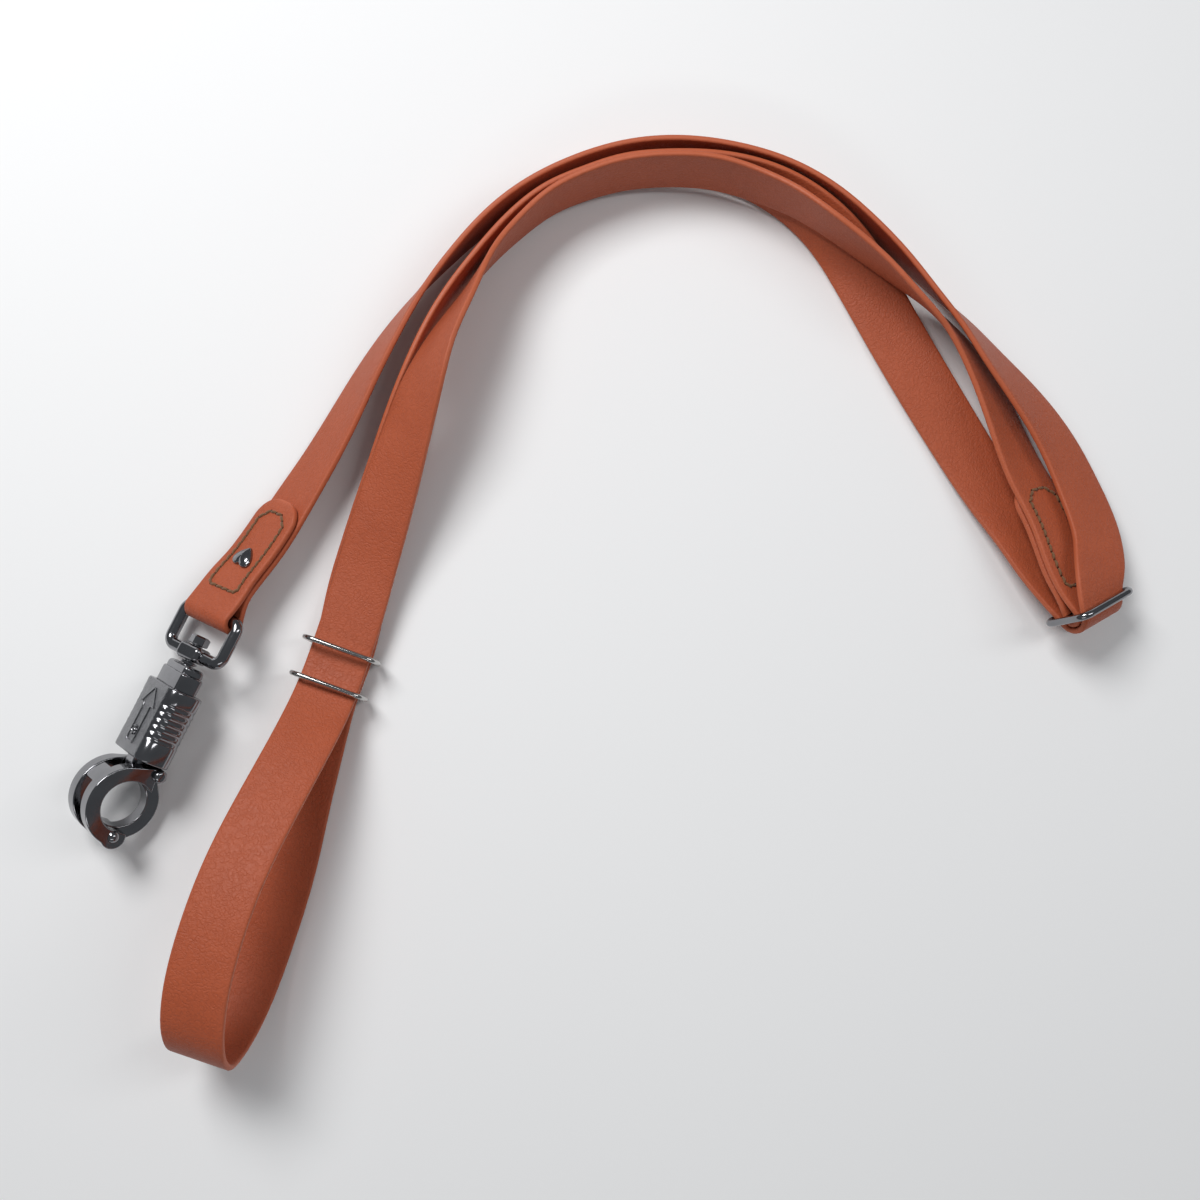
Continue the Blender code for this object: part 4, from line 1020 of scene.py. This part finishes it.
def jaw(chrome):
    """Two round-edged finger plates over the eye with ball ends, joined by a web, and the hinge pin."""
    pivot_along, pivot_side = jaw_pivot()
    inner = EYE_RADIUS + CLEARANCE
    outer = inner + JAW_WALL
    middle = SHANK_DIAMETER / 2 + CLEARANCE + JAW_PLATE / 2

    outline = arc((pivot_along, pivot_side), JAW_EYE, 150, 360, 18)
    outline += [eye_point(inner, 142), *eye_arc(inner, 150, 352, 60)]
    bulb = eye_point(outer - JAW_BULB * 0.75, 2)
    outline += arc(bulb, JAW_BULB, -120, 45, 20)
    outline += eye_arc(outer, -16, -155, 44)
    web = eye_arc(inner + 0.4 * MM, -138, -106, 12) + eye_arc(outer - 0.4 * MM, -106, -138, 12)
    made = []
    for name, side in (("jaw_finger_near", 1), ("jaw_finger_far", -1)):
        finger = piece(name, plate(outline, JAW_PLATE, side * middle), chrome, "jaw", SNAP_PLACE)
        rounded(finger, 1.9 * MM, 6)
        ball = bmesh.new()
        spot = (bulb[0], side * (middle + JAW_PLATE / 2 - 0.9 * MM), bulb[1])
        bmesh.ops.create_uvsphere(ball, u_segments=32, v_segments=20, radius=JAW_BALL,
                                  matrix=Matrix.Translation(spot))
        made += [finger, piece(name.replace("finger", "ball"), ball, chrome, "jaw", SNAP_PLACE)]
    made.append(piece("jaw_web", plate(web, 2 * middle), chrome, "jaw", SNAP_PLACE))
    rounded(made[-1], 0.5 * MM, 3)
    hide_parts("release_jaw")

    shaft, head = JAW_PIN_DIAMETER / 2, JAW_PIN_HEAD / 2
    near = SHANK_DIAMETER / 2 + JAW_PLATE + 2 * CLEARANCE
    far = near + JAW_PIN_HEAD_LENGTH
    ends = [(far, 0), (far, head * 0.55), (far - 0.25 * MM, head * 0.8), (far - 0.7 * MM, head * 0.96),
            (far - 1 * MM, head), (near, head), (near, shaft)]
    bm = turned([(-x, radius) for x, radius in ends] + ends[::-1], 32)
    bmesh.ops.rotate(bm, verts=bm.verts, matrix=Matrix.Rotation(math.pi / 2, 3, "Z"))
    pin_place = SNAP_PLACE @ Matrix.Translation((pivot_along, 0, pivot_side))
    pin = piece("hinge_pin", bm, chrome, "snap", pin_place, sharp=30)
    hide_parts("jaw_pin")
    made.append(pin)


# ---- slider and rings ----

def slide_buckle(chrome):
    half_length = (SLIDER_LENGTH - SLIDER_WIRE) / 2
    half_depth = (SLIDER_DEPTH - SLIDER_WIRE) / 2
    tip = math.radians(SLIDER_TILT)
    loop = [(y * math.sin(tip), x, y * math.cos(tip))
            for x, y in rounded_rectangle(half_length, half_depth, SLIDER_CORNER, 10)]
    made = piece("slider_frame", tube(loop, SLIDER_WIRE / 2, 24), chrome, "buckle", SLIDER_PLACE)
    centre = bar(SLIDER_WIRE / 2, 2 * half_length, "Y", sides=24)
    post = piece("slider_bar", centre, chrome, "buckle", SLIDER_PLACE)
    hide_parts("slider")


def keeper_ring(name, body, wire):
    """A long flat ring of round wire."""
    low, high = (Vector(corner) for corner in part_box(name))
    along = joint(body + "_slide")[1]
    across = Vector((0, 0, 1)).cross(along)
    place = placed((low + high) / 2, along, across)
    half_length = (RING_LENGTH - RING_WIRE) / 2
    half_height = (RING_HEIGHT - RING_WIRE) / 2
    loop = [(0, x, y) for x, y in rounded_rectangle(half_length, half_height, RING_CORNER, 12)]
    made = piece(name + "_wire", tube(loop, RING_WIRE / 2, 20), wire, body, place)
    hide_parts(name)


# ---- studio ----

CAMERA_PLACE = (-0.01433, -0.06406, 0.44024)
CAMERA_LENS = 39.6
CAMERA_SENSOR = 36.0
TABLE_GAP = 0.1 * MM
# The straight-down direction, in the camera's own axes.
CAMERA_DOWN = (-0.026515, -0.134848, -1.0)


def camera():
    up = -Vector(CAMERA_DOWN).normalized()
    side = Vector((1, 0, 0))
    side = (side - side.dot(up) * up).normalized()
    turn = Matrix((side, up.cross(side), up))
    data = bpy.data.cameras.new("camera")
    data.lens = CAMERA_LENS
    data.sensor_width = CAMERA_SENSOR
    data.clip_start = 0.01
    made = bpy.data.objects.new("camera", data)
    bpy.context.scene.collection.objects.link(made)
    made.matrix_world = Matrix.Translation(CAMERA_PLACE) @ turn.to_4x4()
    bpy.context.scene.camera = made


def lamp(name, place, size, power):
    """A soft rectangular light that points at the middle of the table."""
    data = bpy.data.lights.new(name, "AREA")
    data.shape = "RECTANGLE"
    data.size, data.size_y = size
    data.energy = power
    made = bpy.data.objects.new(name, data)
    bpy.context.scene.collection.objects.link(made)
    made.location = place
    made.rotation_euler = (-Vector(place)).to_track_quat("-Z", "Y").to_euler()


def studio():
    bm = bmesh.new()
    bmesh.ops.create_grid(bm, x_segments=1, y_segments=1, size=3)
    mesh = bpy.data.meshes.new("table")
    bm.to_mesh(mesh)
    bm.free()
    table = bpy.data.objects.new("table", mesh)
    bpy.context.scene.collection.objects.link(table)
    mesh.materials.append(table_top())
    table.location = (0, 0, CAD_BOX[0][2] - TABLE_GAP)
    world = bpy.data.worlds.new("studio")
    bpy.context.scene.world = world
    world.use_nodes = True
    background = world.node_tree.nodes["Background"]
    background.inputs["Color"].default_value = (0.9, 0.95, 1.0, 1)
    background.inputs["Strength"].default_value = 0.17
    lamp("key", (-0.35, 0.45, 0.75), (0.4, 0.4), 7.0)
    lamp("fill", (0.55, 0.1, 0.7), (0.16, 0.6), 1.6)
    lamp("front", (-0.1, -0.7, 0.6), (0.6, 0.12), 0.7)
    bpy.context.scene.view_settings.view_transform = "Standard"


def main():
    hide = leather()
    yarn = thread()
    shade = hole_shade()
    chrome = plated("black_nickel", (0.20, 0.20, 0.21), (0.30, 0.30, 0.315), 0.10)
    cast = plated("black_nickel_cast", (0.20, 0.20, 0.21), (0.30, 0.30, 0.315), 0.13, 4.0)
    wire = plated("bright_nickel", (0.42, 0.41, 0.40), (0.55, 0.54, 0.53), 0.11)
    steel = plated("spring_steel", (0.33, 0.33, 0.34), (0.45, 0.45, 0.46), 0.25)

    route, at_bail, at_slider = strap_route(BAIL_ENTRY, SLIDER_PLACE)
    ribbon = strap(route, hide)
    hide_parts("strap")
    outer, inner = STRAP_THICKNESS / 2, 1.5 * STRAP_THICKNESS + LAYER_GAP
    sewn = []
    spans = (("snap_end", at_bail - TAB_SEAM[1], at_bail - TAB_SEAM[0], (-outer, inner)),
             ("slider_end", at_slider - LEG_SEAM[1], at_slider - LEG_SEAM[0], (outer, -inner)))
    for end, start, stop, depths in spans:
        made, punched = stitches(end + "_stitches", route, (start, stop), depths, yarn, shade)
        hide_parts(end + "_thread")
        sewn += [made, punched]

    rivet(route, at_bail - RIVET_PLACE, chrome)
    for name in ("heart_rivet_back", "spring_washer"):
        frame["nodes"][name].data.materials.clear()
        frame["nodes"][name].data.materials.append(chrome)
    bail(chrome)
    stem(chrome)
    snap_body(chrome)
    sleeve(cast)
    sleeve_inside(chrome, steel)
    jaw(chrome)
    slide_buckle(chrome)
    keeper_ring("keeper_ring_upper", "ring_upper", wire)
    keeper_ring("keeper_ring_lower", "ring_lower", wire)
    camera()
    studio()


main()
